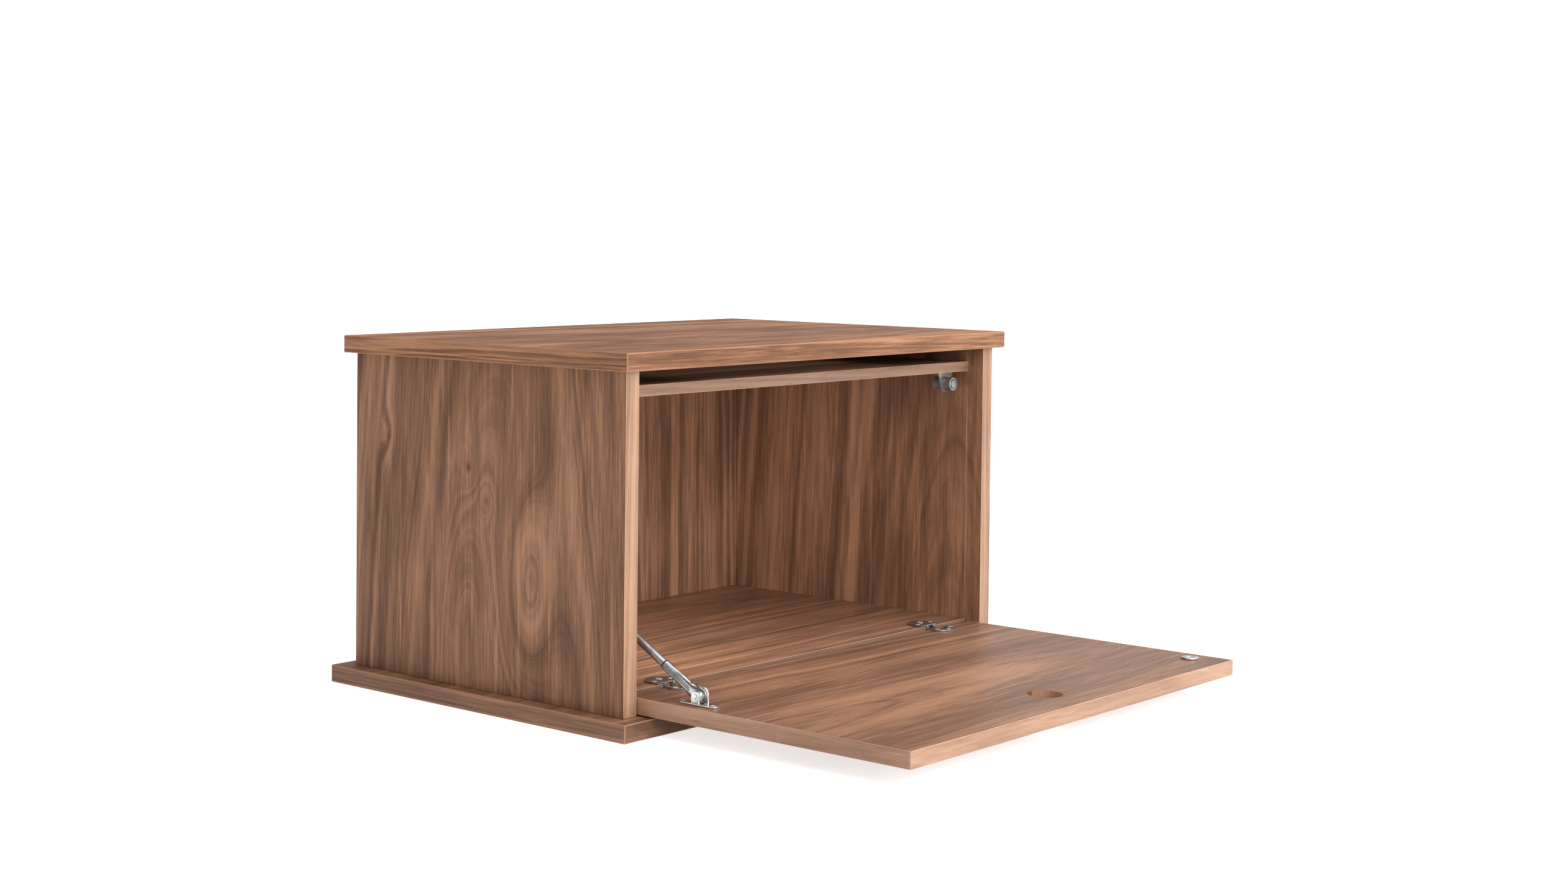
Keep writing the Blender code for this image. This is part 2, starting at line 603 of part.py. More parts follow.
def add_hinge(hand, x, floor, flap, pivot):
    """One flap hinge: two halves, the pin that joins them and four screws."""
    floor_half = add_floor_half("hinge_" + hand + "_floor_half", x, floor)
    flap_half = add_flap_half("hinge_" + hand + "_flap_half", x, flap, pivot)
    reach = Vector((HINGE_ARM_OUTER, 0, 0))
    middle = Vector((x, PIVOT_Y, PIVOT_Z))
    pin = cylinder_shape(HINGE_PIN_DIAMETER / 2, middle - reach, middle + reach, SMALL_ROUND)
    add_piece("hinge_" + hand + "_pin", pin, STEEL, smooth=True)
    floor_seat = FLOOR_HIGH + GAP + HINGE_PLATE
    flap_seat = FLAP_FACE + GAP + HINGE_PLATE
    floor_y = SET_BACK + HINGE_SCREW_INSET
    flap_y = FLAP_HEEL - HINGE_PLATE_SET_IN - HINGE_FLAP_SCREW_INSET
    for sign, side in ((-1, "outer"), (1, "inner")):
        screw_x = x + sign * HINGE_SCREW_SPREAD / 2
        label = "hinge_" + hand + "_screw_" + side
        seat = (screw_x, floor_y, floor_seat)
        add_screw(label + "_floor", seat, (0, 0, -1), STEEL, (floor_half, floor))
        seat = (screw_x, flap_y, flap_seat)
        add_screw(label + "_flap", seat, (0, 0, -1), STEEL, (flap_half, flap), pivot)


# ---- stay ----------------------------------------------------------------------------
def stay_frame(distance):
    """A frame on the stay's line: X along the stay, Y square to it and Z across."""
    origin = STAY_FLAP_PIVOT + STAY_DIRECTION * distance
    square = Vector((0.0, -STAY_DIRECTION.z, STAY_DIRECTION.y))
    return plane_frame(origin, STAY_DIRECTION, square)


def eye_shape(pin_distance, toward, reach, half, thickness):
    """A flat eye round a pivot, with a tongue that reaches along the stay."""
    frame = stay_frame(pin_distance)
    if toward > 0:
        outline = arc((0.0, 0.0), half, 90, 270, 12) + [(reach, -half), (reach, half)]
    else:
        outline = arc((0.0, 0.0), half, -90, 90, 12) + [(-reach, half), (-reach, -half)]
    across = Vector((thickness, 0, 0))
    start = Matrix.Translation(-across / 2)
    return prism_shape(outline, across, start @ frame)


def add_eye(piece, name, pin_distance, toward, reach, half, thickness):
    """Join a flat eye to the end of a stay piece and bore it for its pin."""
    eye = add_cutter("join_" + name, eye_shape(pin_distance, toward, reach, half, thickness))
    combine(piece, eye, "UNION")
    side = Vector((STAY_INSET, 0, 0))
    middle = STAY_FLAP_PIVOT + STAY_DIRECTION * pin_distance
    bore = STAY_PIN_DIAMETER / 2 + GAP
    cutter = add_cutter("cut_" + name, cylinder_shape(bore, middle - side, middle + side, SMALL_ROUND))
    combine(piece, cutter)


def add_stay_rod(carrier):
    """The rod with its pressed sleeve and the dark ring at the sleeve's mouth."""
    rod = STAY_ROD_DIAMETER / 2
    outer = rod + GAP + STAY_SLEEVE_WALL
    plug = STAY_SLEEVE_PLUG
    length = STAY_SLEEVE_LENGTH
    profile = [
        (0.0, 0.0), (outer - 0.001, 0.0), (outer, 0.001), (outer, length),
        (rod + GAP, length), (rod + GAP, plug), (0.0, plug),
    ]
    start = STAY_FLAP_PIVOT + STAY_DIRECTION * STAY_SLEEVE_START
    shape = turned_shape(profile, start, STAY_DIRECTION, 24)
    sleeve = add_piece("stay_sleeve", shape, NICKEL, carrier, smooth=True)
    reach = STAY_SLEEVE_START + plug / 2
    add_eye(sleeve, "stay_sleeve", 0.0, 1, reach, outer - GAP, STAY_SLEEVE_EYE_THICKNESS)
    rod_start = STAY_FLAP_PIVOT + STAY_DIRECTION * (STAY_SLEEVE_START + plug + GAP)
    rod_end = STAY_FLAP_PIVOT + STAY_DIRECTION * STAY_ROD_END
    add_piece("stay_rod", cylinder_shape(rod, rod_start, rod_end, 24), NICKEL, carrier, smooth=True)
    ring_start = STAY_FLAP_PIVOT + STAY_DIRECTION * (STAY_SLEEVE_END + GAP)
    ring_outer = outer - GAP
    ring = [
        (ring_outer, 0.0), (ring_outer, STAY_RING_LENGTH),
        (rod + GAP, STAY_RING_LENGTH), (rod + GAP, 0.0),
    ]
    ring_mesh = turned_shape(ring, ring_start, STAY_DIRECTION, 24)
    add_piece("stay_ring", ring_mesh, RUBBER, carrier, smooth=True)


def add_stay_cylinder(carrier):
    """The cylinder that the rod slides into, with its eye at the side of the cabinet."""
    bore = STAY_ROD_DIAMETER / 2 + GAP
    outer = bore + STAY_CYLINDER_WALL
    length = STAY_CYLINDER_LENGTH
    inner_end = length - STAY_CYLINDER_CAP
    profile = [
        (0.0, inner_end), (bore, inner_end), (bore, 0.0), (outer, 0.0),
        (outer, length - 0.001), (outer - 0.001, length), (0.0, length),
    ]
    start = STAY_FLAP_PIVOT + STAY_DIRECTION * STAY_CYLINDER_START
    shape = turned_shape(profile, start, STAY_DIRECTION, 24)
    cylinder = add_piece("stay_cylinder", shape, NICKEL, carrier, smooth=True)
    reach = STAY_EYE_REACH + STAY_CYLINDER_CAP / 2
    add_eye(cylinder, "stay_cylinder", STAY_LENGTH, -1, reach, STAY_EYE_RADIUS, STAY_EYE_THICKNESS)


def long_plate_outline(length, width):
    """A plate outline with two round ends, its long way along Y."""
    half = width / 2
    middle = length / 2 - half
    return arc((0.0, middle), half, 0, 180, 8) + arc((0.0, -middle), half, 180, 360, 8)


def add_flap_bracket(flap, pivot):
    """The bracket on the flap: a long plate with a tall ear and a low ear for the pin."""
    middle = STAY_FLAP_PIVOT.copy()
    plate_low = FLAP_FACE + GAP
    frame = plane_frame((STAY_X, middle.y, plate_low), (1, 0, 0), (0, 1, 0))
    outline = long_plate_outline(BRACKET_LENGTH, BRACKET_WIDTH)
    plate = prism_shape(outline, Vector((0, 0, BRACKET_PLATE)), frame)
    bracket = add_piece("stay_flap_bracket", plate, NICKEL, pivot)
    foot = plate_low + GAP - middle.z
    ears = (("near", -1, BRACKET_NEAR_EAR_RADIUS), ("far", 1, BRACKET_EAR_RADIUS))
    for label, sign, radius in ears:
        outer_face = BRACKET_WIDTH / 2 - GAP
        start_x = STAY_X + (outer_face - BRACKET_EAR if sign > 0 else -outer_face)
        ear_frame = plane_frame((start_x, middle.y, middle.z), (0, 1, 0), (0, 0, 1))
        ear_outline = arc((0.0, 0.0), radius, 0, 180, 12) + [(-radius, foot), (radius, foot)]
        ear = prism_shape(ear_outline, Vector((BRACKET_EAR, 0, 0)), ear_frame)
        combine(bracket, add_cutter("join_bracket_" + label, ear), "UNION")
    side = Vector((BRACKET_WIDTH, 0, 0))
    bore = STAY_PIN_DIAMETER / 2 + GAP
    hole = cylinder_shape(bore, middle - side, middle + side, SMALL_ROUND)
    cutter = add_cutter("cut_stay_flap_bracket", hole)
    combine(bracket, cutter)
    half_pin = Vector((BRACKET_WIDTH / 2, 0, 0))
    pin = cylinder_shape(STAY_PIN_DIAMETER / 2, middle - half_pin, middle + half_pin, SMALL_ROUND)
    add_piece("stay_flap_pin", pin, STEEL, pivot, smooth=True)
    for label, sign in (("front", -1), ("back", 1)):
        seat = (STAY_X, middle.y + sign * BRACKET_SCREW_SPREAD / 2, plate_low + BRACKET_PLATE)
        add_screw("stay_bracket_screw_" + label, seat, (0, 0, -1), STEEL, (bracket, flap), pivot)


def add_side_bracket(side):
    """The bracket on the left side, with the pin that the cylinder's eye swings on."""
    middle = STAY_SIDE_PIVOT.copy()
    plate_left = LEFT_IN + GAP
    frame = plane_frame((plate_left, middle.y, middle.z), (0, 1, 0), (0, 0, 1))
    outline = long_plate_outline(SIDE_BRACKET_LENGTH, SIDE_BRACKET_WIDTH)
    plate = prism_shape(outline, Vector((SIDE_BRACKET_PLATE, 0, 0)), frame)
    bracket = add_piece("stay_side_bracket", plate, NICKEL)
    pin_end = STAY_X - STAY_EYE_THICKNESS / 2 - GAP
    pin_start = Vector((plate_left + SIDE_BRACKET_PLATE / 2, middle.y, middle.z))
    pin = cylinder_shape(STAY_PIN_DIAMETER / 2, pin_start, Vector((pin_end, middle.y, middle.z)), SMALL_ROUND)
    combine(bracket, add_cutter("join_stay_side_pin", pin), "UNION")
    for label, sign in (("low", -1), ("high", 1)):
        seat_x = plate_left + SIDE_BRACKET_PLATE
        seat = (seat_x, middle.y, middle.z + sign * SIDE_BRACKET_SCREW_SPREAD / 2)
        add_screw("stay_side_screw_" + label, seat, (-1, 0, 0), STEEL, (bracket, side))


# ---- catch ---------------------------------------------------------------------------
def add_catch(inner_top, plunger_carrier):
    """The push catch under the inner top: body, sprung plunger and bent bracket."""
    body = CATCH_BODY_DIAMETER / 2
    plunger = CATCH_PLUNGER_DIAMETER / 2
    bore = plunger + GAP
    rim = body - CATCH_RIM
    length = CATCH_BODY_LENGTH
    bore_depth = CATCH_PLUNGER_LENGTH - CATCH_BODY_SET_IN + CATCH_TRAVEL + GAP
    profile = [
        (0.0, bore_depth), (bore, bore_depth), (bore, CATCH_FACE_GROOVE), (rim, CATCH_FACE_GROOVE),
        (rim, 0.0), (body - 0.0004, 0.0), (body, 0.0004), (body, length - 0.002),
        (body - 0.002, length), (0.0, length),
    ]
    body_start = Vector((CATCH_X, CATCH_BODY_FACE, CATCH_Z))
    add_piece("catch_body", turned_shape(profile, body_start, (0, 1, 0), ROUND), ZINC, smooth=True)
    groove = 0.0006
    face = [
        (0.0, groove), (plunger * 0.40, groove), (plunger * 0.50, 0.0), (plunger * 0.92, 0.0),
        (plunger, 0.0004), (plunger, CATCH_PLUNGER_LENGTH), (0.0, CATCH_PLUNGER_LENGTH),
    ]
    plunger_start = Vector((CATCH_X, PLUNGER_FACE, CATCH_Z))
    shape = turned_shape(face, plunger_start, (0, 1, 0), ROUND)
    add_piece("catch_plunger", shape, ZINC, plunger_carrier, smooth=True)
    add_catch_bracket(inner_top)


def catch_plate_outline(top):
    """The upright plate: full width at the top, then narrowing to a collar round the body."""
    half = CATCH_PLATE_WIDTH / 2
    collar = CATCH_BODY_DIAMETER / 2 + GAP + CATCH_COLLAR
    low = top - CATCH_PLATE_SHOULDER
    distance = math.hypot(half, low)
    touch = math.degrees(math.atan2(low, half) - math.acos(collar / distance))
    shoulder = 0.001
    outline = [(-half, top), (-half, low + shoulder)]
    outline += arc((0.0, 0.0), collar, 180 - touch, 360 + touch, 20)
    return outline + [(half, low + shoulder), (half, top)]


def add_catch_bracket(inner_top):
    """The catch's bent bracket: a plate against the inner top and one round the body."""
    plate_high = INNER_TOP_LOW - GAP
    plate_low = plate_high - CATCH_PLATE
    front = CATCH_BODY_FACE + CATCH_PLATE_BACK
    back = front + CATCH_PLATE
    frame = plane_frame((CATCH_X, front, CATCH_Z), (1, 0, 0), (0, 0, 1))
    outline = catch_plate_outline(plate_high - GAP - CATCH_Z)
    upright = prism_shape(outline, Vector((0, CATCH_PLATE, 0)), frame)
    bmesh.ops.recalc_face_normals(upright, faces=upright.faces)
    bracket = add_piece("catch_bracket", upright, ZINC)
    corner = (CATCH_X - CATCH_PLATE_WIDTH / 2, front + GAP, plate_low)
    far = (CATCH_X + CATCH_PLATE_WIDTH / 2, front + CATCH_PLATE_DEPTH, plate_high)
    combine(bracket, add_cutter("join_catch_plate", box_shape(corner, far)), "UNION")
    bore = CATCH_BODY_DIAMETER / 2 + GAP
    start = Vector((CATCH_X, front - GAP, CATCH_Z))
    end = Vector((CATCH_X, back + GAP, CATCH_Z))
    combine(bracket, add_cutter("cut_catch_bracket", cylinder_shape(bore, start, end, ROUND)))
    middle_y = front + CATCH_PLATE_DEPTH / 2
    for label, sign in (("left", -1), ("right", 1)):
        seat = (CATCH_X + sign * (CATCH_PLATE_WIDTH / 2 - CATCH_SCREW_INSET), middle_y, plate_low)
        add_catch_screw("catch_screw_" + label, seat, (0, 0, 1), (bracket, inner_top))


def add_catch_screw(name, seat, direction, cut_pieces):
    """A small screw that fixes the catch's bracket to the thin inner top."""
    radius = 0.0024
    shank = 0.0011
    length = 0.0085
    deep = 0.0012
    profile = [(0.0, 0.0), (radius, 0.0), (shank, deep), (shank, length), (0.0, length + 0.0005)]
    add_piece(name, turned_shape(profile, seat, direction, 12), STEEL, smooth=True)
    hole = [
        (0.0, -0.002), (radius + GAP, -0.002), (radius + GAP, GAP), (shank + GAP, deep + GAP),
        (shank + GAP, length + 0.001), (0.0, length + 0.001),
    ]
    cutter = add_cutter("cut_" + name, turned_shape(hole, seat, direction, 12))
    for piece in cut_pieces:
        combine(piece, cutter)


def add_striker(flap, pivot):
    """The steel disc on the flap that the catch pulls on, and its screw."""
    radius = STRIKER_DIAMETER / 2
    start = Vector((CATCH_X, STRIKER_Y, FLAP_FACE + GAP))
    edge = 0.0004
    profile = [
        (0.0, 0.0), (radius - edge, 0.0), (radius, edge), (radius, STRIKER_THICKNESS - edge),
        (radius - edge, STRIKER_THICKNESS), (0.0, STRIKER_THICKNESS),
    ]
    shape = turned_shape(profile, start, (0, 0, 1), ROUND)
    disc = add_piece("striker_disc", shape, NICKEL, pivot, smooth=True)
    seat = Vector((CATCH_X, STRIKER_Y, STRIKER_TOP - GAP))
    add_screw("striker_screw", seat, (0, 0, -1), STEEL, (disc, flap), pivot)


# ---- assembly ------------------------------------------------------------------------
def main():
    """Build every piece of the unit."""
    clear_scene()
    flap_pivot = add_pivot("flap_axis", FLAP_PIVOT)
    rod_pivot = add_pivot("stay_rod_axis", STAY_FLAP_PIVOT)
    cylinder_pivot = add_pivot("stay_cylinder_axis", STAY_SIDE_PIVOT)
    plunger_axis = add_pivot("catch_axis", (CATCH_X, PLUNGER_FACE, CATCH_Z))
    base = add_base()
    top = add_top()
    sides = add_sides()
    _back, floor, inner_top = add_inner_boards()
    add_dowels(base, top, sides, inner_top)
    flap = add_flap(flap_pivot)
    for hand, x in HINGE_CENTRES.items():
        add_hinge(hand, x, floor, flap, flap_pivot)
    add_flap_bracket(flap, flap_pivot)
    add_stay_rod(rod_pivot)
    add_stay_cylinder(cylinder_pivot)
    add_side_bracket(sides["left"])
    add_catch(inner_top, plunger_axis)
    add_striker(flap, flap_pivot)


main()
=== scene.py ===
"""Finishes, small fittings, light and camera of the walnut cube storage unit."""
from __future__ import annotations

import logging
import math
from dataclasses import dataclass, field
from enum import Enum

import bmesh
import bpy
from mathutils import Euler, Matrix, Vector

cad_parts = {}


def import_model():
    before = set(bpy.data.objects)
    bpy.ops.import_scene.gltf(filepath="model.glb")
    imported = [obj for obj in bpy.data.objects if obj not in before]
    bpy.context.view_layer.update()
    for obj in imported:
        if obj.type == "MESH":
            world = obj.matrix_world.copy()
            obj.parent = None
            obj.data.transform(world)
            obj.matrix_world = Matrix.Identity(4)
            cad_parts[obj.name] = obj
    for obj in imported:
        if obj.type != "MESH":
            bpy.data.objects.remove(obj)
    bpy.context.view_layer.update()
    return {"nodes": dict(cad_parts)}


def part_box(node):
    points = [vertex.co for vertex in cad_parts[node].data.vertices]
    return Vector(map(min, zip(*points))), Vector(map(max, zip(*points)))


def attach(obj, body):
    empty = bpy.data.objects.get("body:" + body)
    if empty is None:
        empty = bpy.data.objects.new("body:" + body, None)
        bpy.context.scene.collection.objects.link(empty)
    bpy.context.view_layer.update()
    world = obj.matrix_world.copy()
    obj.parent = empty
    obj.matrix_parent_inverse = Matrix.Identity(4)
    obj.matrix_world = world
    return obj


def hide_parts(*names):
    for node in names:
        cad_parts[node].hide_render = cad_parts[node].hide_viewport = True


LOG = logging.getLogger("cube_storage_unit")
MM = 0.001
GRAIN_SEED = 7.0
SMOOTH_UNDER = math.radians(35.0)
FIGURE_SHARES = {"Rings": 0.60, "Bands": 0.50, "Blotch": 0.35}
FIBRE_SHARES = {"Flame": 0.62, "Fibre": 0.70}
LINE_SHARE = -0.09
STREAK_SHARE = 0.20
HEART_COLOUR = (0.045, 0.018, 0.010)
Colour = tuple[float, float, float]
Place = tuple[float, float, float]


class Grain(Enum):
    """The way the grain of a board runs."""

    ALONG_X = (0, 1, 2)
    ALONG_Y = (1, 0, 2)
    UPRIGHT_ON_SIDE = (2, 1, 0)
    UPRIGHT_ON_BACK = (2, 0, 1)


class Drive(Enum):
    """The recess in a screw's head."""

    CROSS = 2
    SLOT = 1


class NodePen:
    """Places and links the nodes of one tree."""

    def __init__(self, tree: bpy.types.NodeTree) -> None:
        """Start on a tree.

        Args:
            tree: The shader or geometry tree that takes the nodes.
        """
        self.tree = tree

    def add(self, kind: str, **settings: object) -> bpy.types.Node:
        """Add a node.

        Args:
            kind: The node's type name.
            settings: Values for the node's own properties.

        Returns:
            The new node.
        """
        node = self.tree.nodes.new(kind)
        for name, value in settings.items():
            setattr(node, name, value)
        return node

    def feed(self, socket: bpy.types.NodeSocket, value: object) -> None:
        """Link a socket, or set a plain value on it.

        Args:
            socket: The input socket.
            value: An output socket, or a number, colour, vector or data block.
        """
        if isinstance(value, bpy.types.NodeSocket):
            self.tree.links.new(value, socket)
        else:
            socket.default_value = value

    def math(self, operation: str, *values: object, clamp: bool = False) -> bpy.types.NodeSocket:
        """Add a Math node.

        Args:
            operation: The node's operation.
            values: One, two or three sockets or numbers.
            clamp: Whether the result is kept between 0 and 1.

        Returns:
            The result's socket.
        """
        node = self.add("ShaderNodeMath", operation=operation, use_clamp=clamp)
        for socket, value in zip(node.inputs, values):
            self.feed(socket, value)
        return node.outputs[0]

    def vector(self, x: object, y: object, z: object) -> bpy.types.NodeSocket:
        """Join three values into a vector.

        Args:
            x: First value.
            y: Second value.
            z: Third value.

        Returns:
            The vector's socket.
        """
        node = self.add("ShaderNodeCombineXYZ")
        for socket, value in zip(node.inputs, (x, y, z)):
            self.feed(socket, value)
        return node.outputs[0]

    def noise(self, vector: object, scale: float, detail: float, rough: float = 0.5) -> bpy.types.NodeSocket:
        """Add smooth noise over a vector.

        Args:
            vector: Where the noise is read.
            scale: Its scale.
            detail: Its octaves.
            rough: How strong the finer octaves are.

        Returns:
            The noise value's socket.
        """
        node = self.add("ShaderNodeTexNoise", noise_dimensions="3D")
        self.feed(node.inputs["Vector"], vector)
        node.inputs["Scale"].default_value = scale
        node.inputs["Detail"].default_value = detail
        node.inputs["Roughness"].default_value = rough
        return node.outputs["Fac"]

    def line_noise(self, value: object, scale: float, detail: float, rough: float) -> bpy.types.NodeSocket:
        """Add noise over a single value.

        Args:
            value: Where the noise is read.
            scale: Its scale.
            detail: Its octaves.
            rough: How strong the finer octaves are.

        Returns:
            The noise value's socket.
        """
        node = self.add("ShaderNodeTexNoise", noise_dimensions="1D")
        self.feed(node.inputs["W"], value)
        node.inputs["Scale"].default_value = scale
        node.inputs["Detail"].default_value = detail
        node.inputs["Roughness"].default_value = rough
        return node.outputs["Fac"]

    def remap(
        self, value: object, low: float, high: float, new_low: float, new_high: float
    ) -> bpy.types.NodeSocket:
        """Stretch a value from one range to another and clamp it.

        Args:
            value: The socket to stretch.
            low: Start of its range.
            high: End of its range.
            new_low: What the start becomes.
            new_high: What the end becomes.

        Returns:
            The stretched value's socket.
        """
        node = self.add("ShaderNodeMapRange", interpolation_type="SMOOTHSTEP")
        for name, number in (
            ("From Min", low), ("From Max", high), ("To Min", new_low), ("To Max", new_high),
        ):
            node.inputs[name].default_value = number
        self.feed(node.inputs["Value"], value)
        return node.outputs["Result"]

    def blend(self, factor: object, first: object, second: object, mode: str = "MIX") -> bpy.types.NodeSocket:
        """Mix two colours.

        Args:
            factor: Share of the second colour.
            first: First colour or socket.
            second: Second colour or socket.
            mode: The blend mode.

        Returns:
            The mixed colour's socket.
        """
        node = self.add("ShaderNodeMix", data_type="RGBA", blend_type=mode)
        self.feed(node.inputs["Factor"], factor)
        self.feed(node.inputs["A"], first if isinstance(first, bpy.types.NodeSocket) else (*first, 1.0))
        self.feed(node.inputs["B"], second if isinstance(second, bpy.types.NodeSocket) else (*second, 1.0))
        return node.outputs["Result"]

    def ramp(self, factor: object, stops: list[tuple[float, Colour]]) -> bpy.types.NodeSocket:
        """Turn a value into a colour.

        Args:
            factor: The value's socket.
            stops: Positions and colours.

        Returns:
            The colour's socket.
        """
        node = self.add("ShaderNodeValToRGB")
        elements = node.color_ramp.elements
        while len(elements) < len(stops):
            elements.new(0.5)
        for element, (position, colour) in zip(elements, stops):
            element.position = position
            element.color = (*colour, 1.0)
        self.feed(node.inputs["Fac"], factor)
        return node.outputs["Color"]

    def group(self, tree: bpy.types.NodeTree, **values: object) -> bpy.types.Node:
        """Place a node group.

        Args:
            tree: The group's tree.
            values: Inputs by name, with spaces written as underscores.

        Returns:
            The group node.
        """
        node = self.add("ShaderNodeGroup", node_tree=tree)
        for name, value in values.items():
            self.feed(node.inputs[name.replace("_", " ")], value)
        return node


def new_group(
    name: str, inputs: dict[str, float], outputs: list[str]
) -> tuple[NodePen, bpy.types.Node, bpy.types.Node]:
    """Make a shader group whose sockets all carry values.

    Args:
        name: The group's name.
        inputs: Input names and their defaults.
        outputs: Output names.

    Returns:
        A pen on the group, its input node and its output node.
    """
    tree = bpy.data.node_groups.new(name, "ShaderNodeTree")
    for socket, default in inputs.items():
        item = tree.interface.new_socket(socket, in_out="INPUT", socket_type="NodeSocketFloat")
        item.default_value = default
    for socket in outputs:
        tree.interface.new_socket(socket, in_out="OUTPUT", socket_type="NodeSocketFloat")
    pen = NodePen(tree)
    return pen, pen.add("NodeGroupInput"), pen.add("NodeGroupOutput")


class SharedEffects:
    """Shader groups that several finishes use: figure, knots, pores and metal wear."""

    def __init__(self) -> None:
        """Build every group once."""
        self.figure = self.build_figure()
        self.knot = self.build_knot()
        self.fibre = self.build_fibre()
        self.wear = self.build_wear()

    def build_figure(self) -> bpy.types.NodeTree:
        """Growth rings of a tapering trunk cut by the board, warped by slow noise.

        Returns:
            The group's tree. Its sizes are in millimetres.
        """
        inputs = {
            "Along": 0.0, "Across": 0.0, "Depth": 0.0, "Seed": 0.0, "Heart": 0.0, "Heart Depth": 40.0,
            "Taper": 0.1, "Warp": 40.0, "Pull": 0.0,
        }
        pen, given, result = new_group("walnut_figure", inputs, ["Rings", "Bands", "Lines", "Blotch"])
        take = given.outputs
        slow = pen.vector(
            pen.math("ADD", pen.math("MULTIPLY", take["Along"], 0.0030), take["Seed"]),
            pen.math("MULTIPLY", take["Across"], 0.011),
            pen.math("MULTIPLY", take["Depth"], 0.011),
        )
        drift = pen.math("SUBTRACT", pen.noise(slow, 1.0, 3.0, 0.45), 0.5)
        across = pen.math("SUBTRACT", take["Across"], take["Heart"])
        across = pen.math("MULTIPLY_ADD", drift, take["Warp"], across)
        depth = pen.math("ADD", take["Depth"], take["Heart Depth"])
        squared = pen.math("ADD", pen.math("MULTIPLY", across, across), pen.math("MULTIPLY", depth, depth))
        radius = pen.math("SQRT", squared)
        radius = pen.math("MULTIPLY_ADD", take["Along"], take["Taper"], radius)
        radius = pen.math("ADD", radius, take["Pull"])
        seeded = pen.math("MULTIPLY_ADD", take["Seed"], 37.0, radius)
        rings = pen.line_noise(seeded, 0.16, 6.0, 0.68)
        bands = pen.line_noise(seeded, 0.040, 2.0, 0.5)
        level = pen.math("SUBTRACT", pen.line_noise(seeded, 0.075, 1.0, 0.5), 0.5)
        lines = pen.remap(pen.math("ABSOLUTE", level), 0.0, 0.022, 1.0, 0.0)
        spots = pen.vector(
            pen.math("ADD", pen.math("MULTIPLY", take["Along"], 0.006), take["Seed"]),
            pen.math("MULTIPLY", take["Across"], 0.010),
            take["Seed"],
        )
        pen.feed(result.inputs["Rings"], rings)
        pen.feed(result.inputs["Bands"], bands)
        pen.feed(result.inputs["Lines"], lines)
        pen.feed(result.inputs["Blotch"], pen.noise(spots, 1.0, 2.0))
        return pen.tree

    def build_knot(self) -> bpy.types.NodeTree:
        """A knot that bends the rings round itself and darkens its middle.

        Returns:
            The group's tree. Its sizes are in millimetres.
        """
        inputs = {
            "Along": 0.0, "Across": 0.0, "Centre Along": 0.0, "Centre Across": 0.0, "Size": 20.0,
            "Stretch": 2.2, "Strength": 20.0,
        }
        pen, given, result = new_group("walnut_knot", inputs, ["Pull", "Heart"])
        take = given.outputs
        along = pen.math("SUBTRACT", take["Along"], take["Centre Along"])
        along = pen.math("DIVIDE", along, take["Stretch"])
        across = pen.math("SUBTRACT", take["Across"], take["Centre Across"])
        squared = pen.math("ADD", pen.math("MULTIPLY", along, along), pen.math("MULTIPLY", across, across))
        share = pen.math("DIVIDE", squared, pen.math("MULTIPLY", take["Size"], take["Size"]))
        fall = pen.math("EXPONENT", pen.math("MULTIPLY", share, -1.0))
        core = pen.math("EXPONENT", pen.math("MULTIPLY", share, -28.0))
        pen.feed(result.inputs["Pull"], pen.math("MULTIPLY", fall, take["Strength"]))
        pen.feed(result.inputs["Heart"], core)
        return pen.tree

    def build_fibre(self) -> bpy.types.NodeTree:
        """Fine fibres, broad flames, lone pale streaks and the short open pores of walnut.

        Returns:
            The group's tree. Its sizes are in millimetres.
        """
        inputs = {"Along": 0.0, "Across": 0.0, "Depth": 0.0, "Seed": 0.0}
        outputs = ["Fibre", "Flame", "Streaks", "Pores", "Height"]
        pen, given, result = new_group("walnut_fibre", inputs, outputs)
        take = given.outputs
        long_way = pen.math("ADD", take["Along"], pen.math("MULTIPLY", take["Seed"], 91.0))

        def stretched(along: float, across: float) -> bpy.types.NodeSocket:
            """A vector whose two scales differ."""
            return pen.vector(
                pen.math("MULTIPLY", long_way, along),
                pen.math("MULTIPLY", take["Across"], across),
                pen.math("MULTIPLY", take["Depth"], across),
            )

        fibre = pen.noise(stretched(0.016, 0.42), 1.0, 5.0, 0.65)
        flame = pen.noise(stretched(0.0050, 0.055), 1.0, 5.0, 0.62)
        lone = pen.noise(stretched(0.0042, 0.17), 1.0, 2.0, 0.5)
        streaks = pen.remap(lone, 0.60, 0.74, 0.0, 1.0)
        dashes = pen.noise(stretched(0.09, 1.9), 1.0, 2.0, 0.5)
        pores = pen.remap(dashes, 0.60, 0.74, 0.0, 1.0)
        pen.feed(result.inputs["Fibre"], fibre)
        pen.feed(result.inputs["Flame"], flame)
        pen.feed(result.inputs["Streaks"], streaks)
        pen.feed(result.inputs["Pores"], pores)
        pen.feed(result.inputs["Height"], pen.math("MULTIPLY_ADD", pores, -0.8, fibre))
        return pen.tree

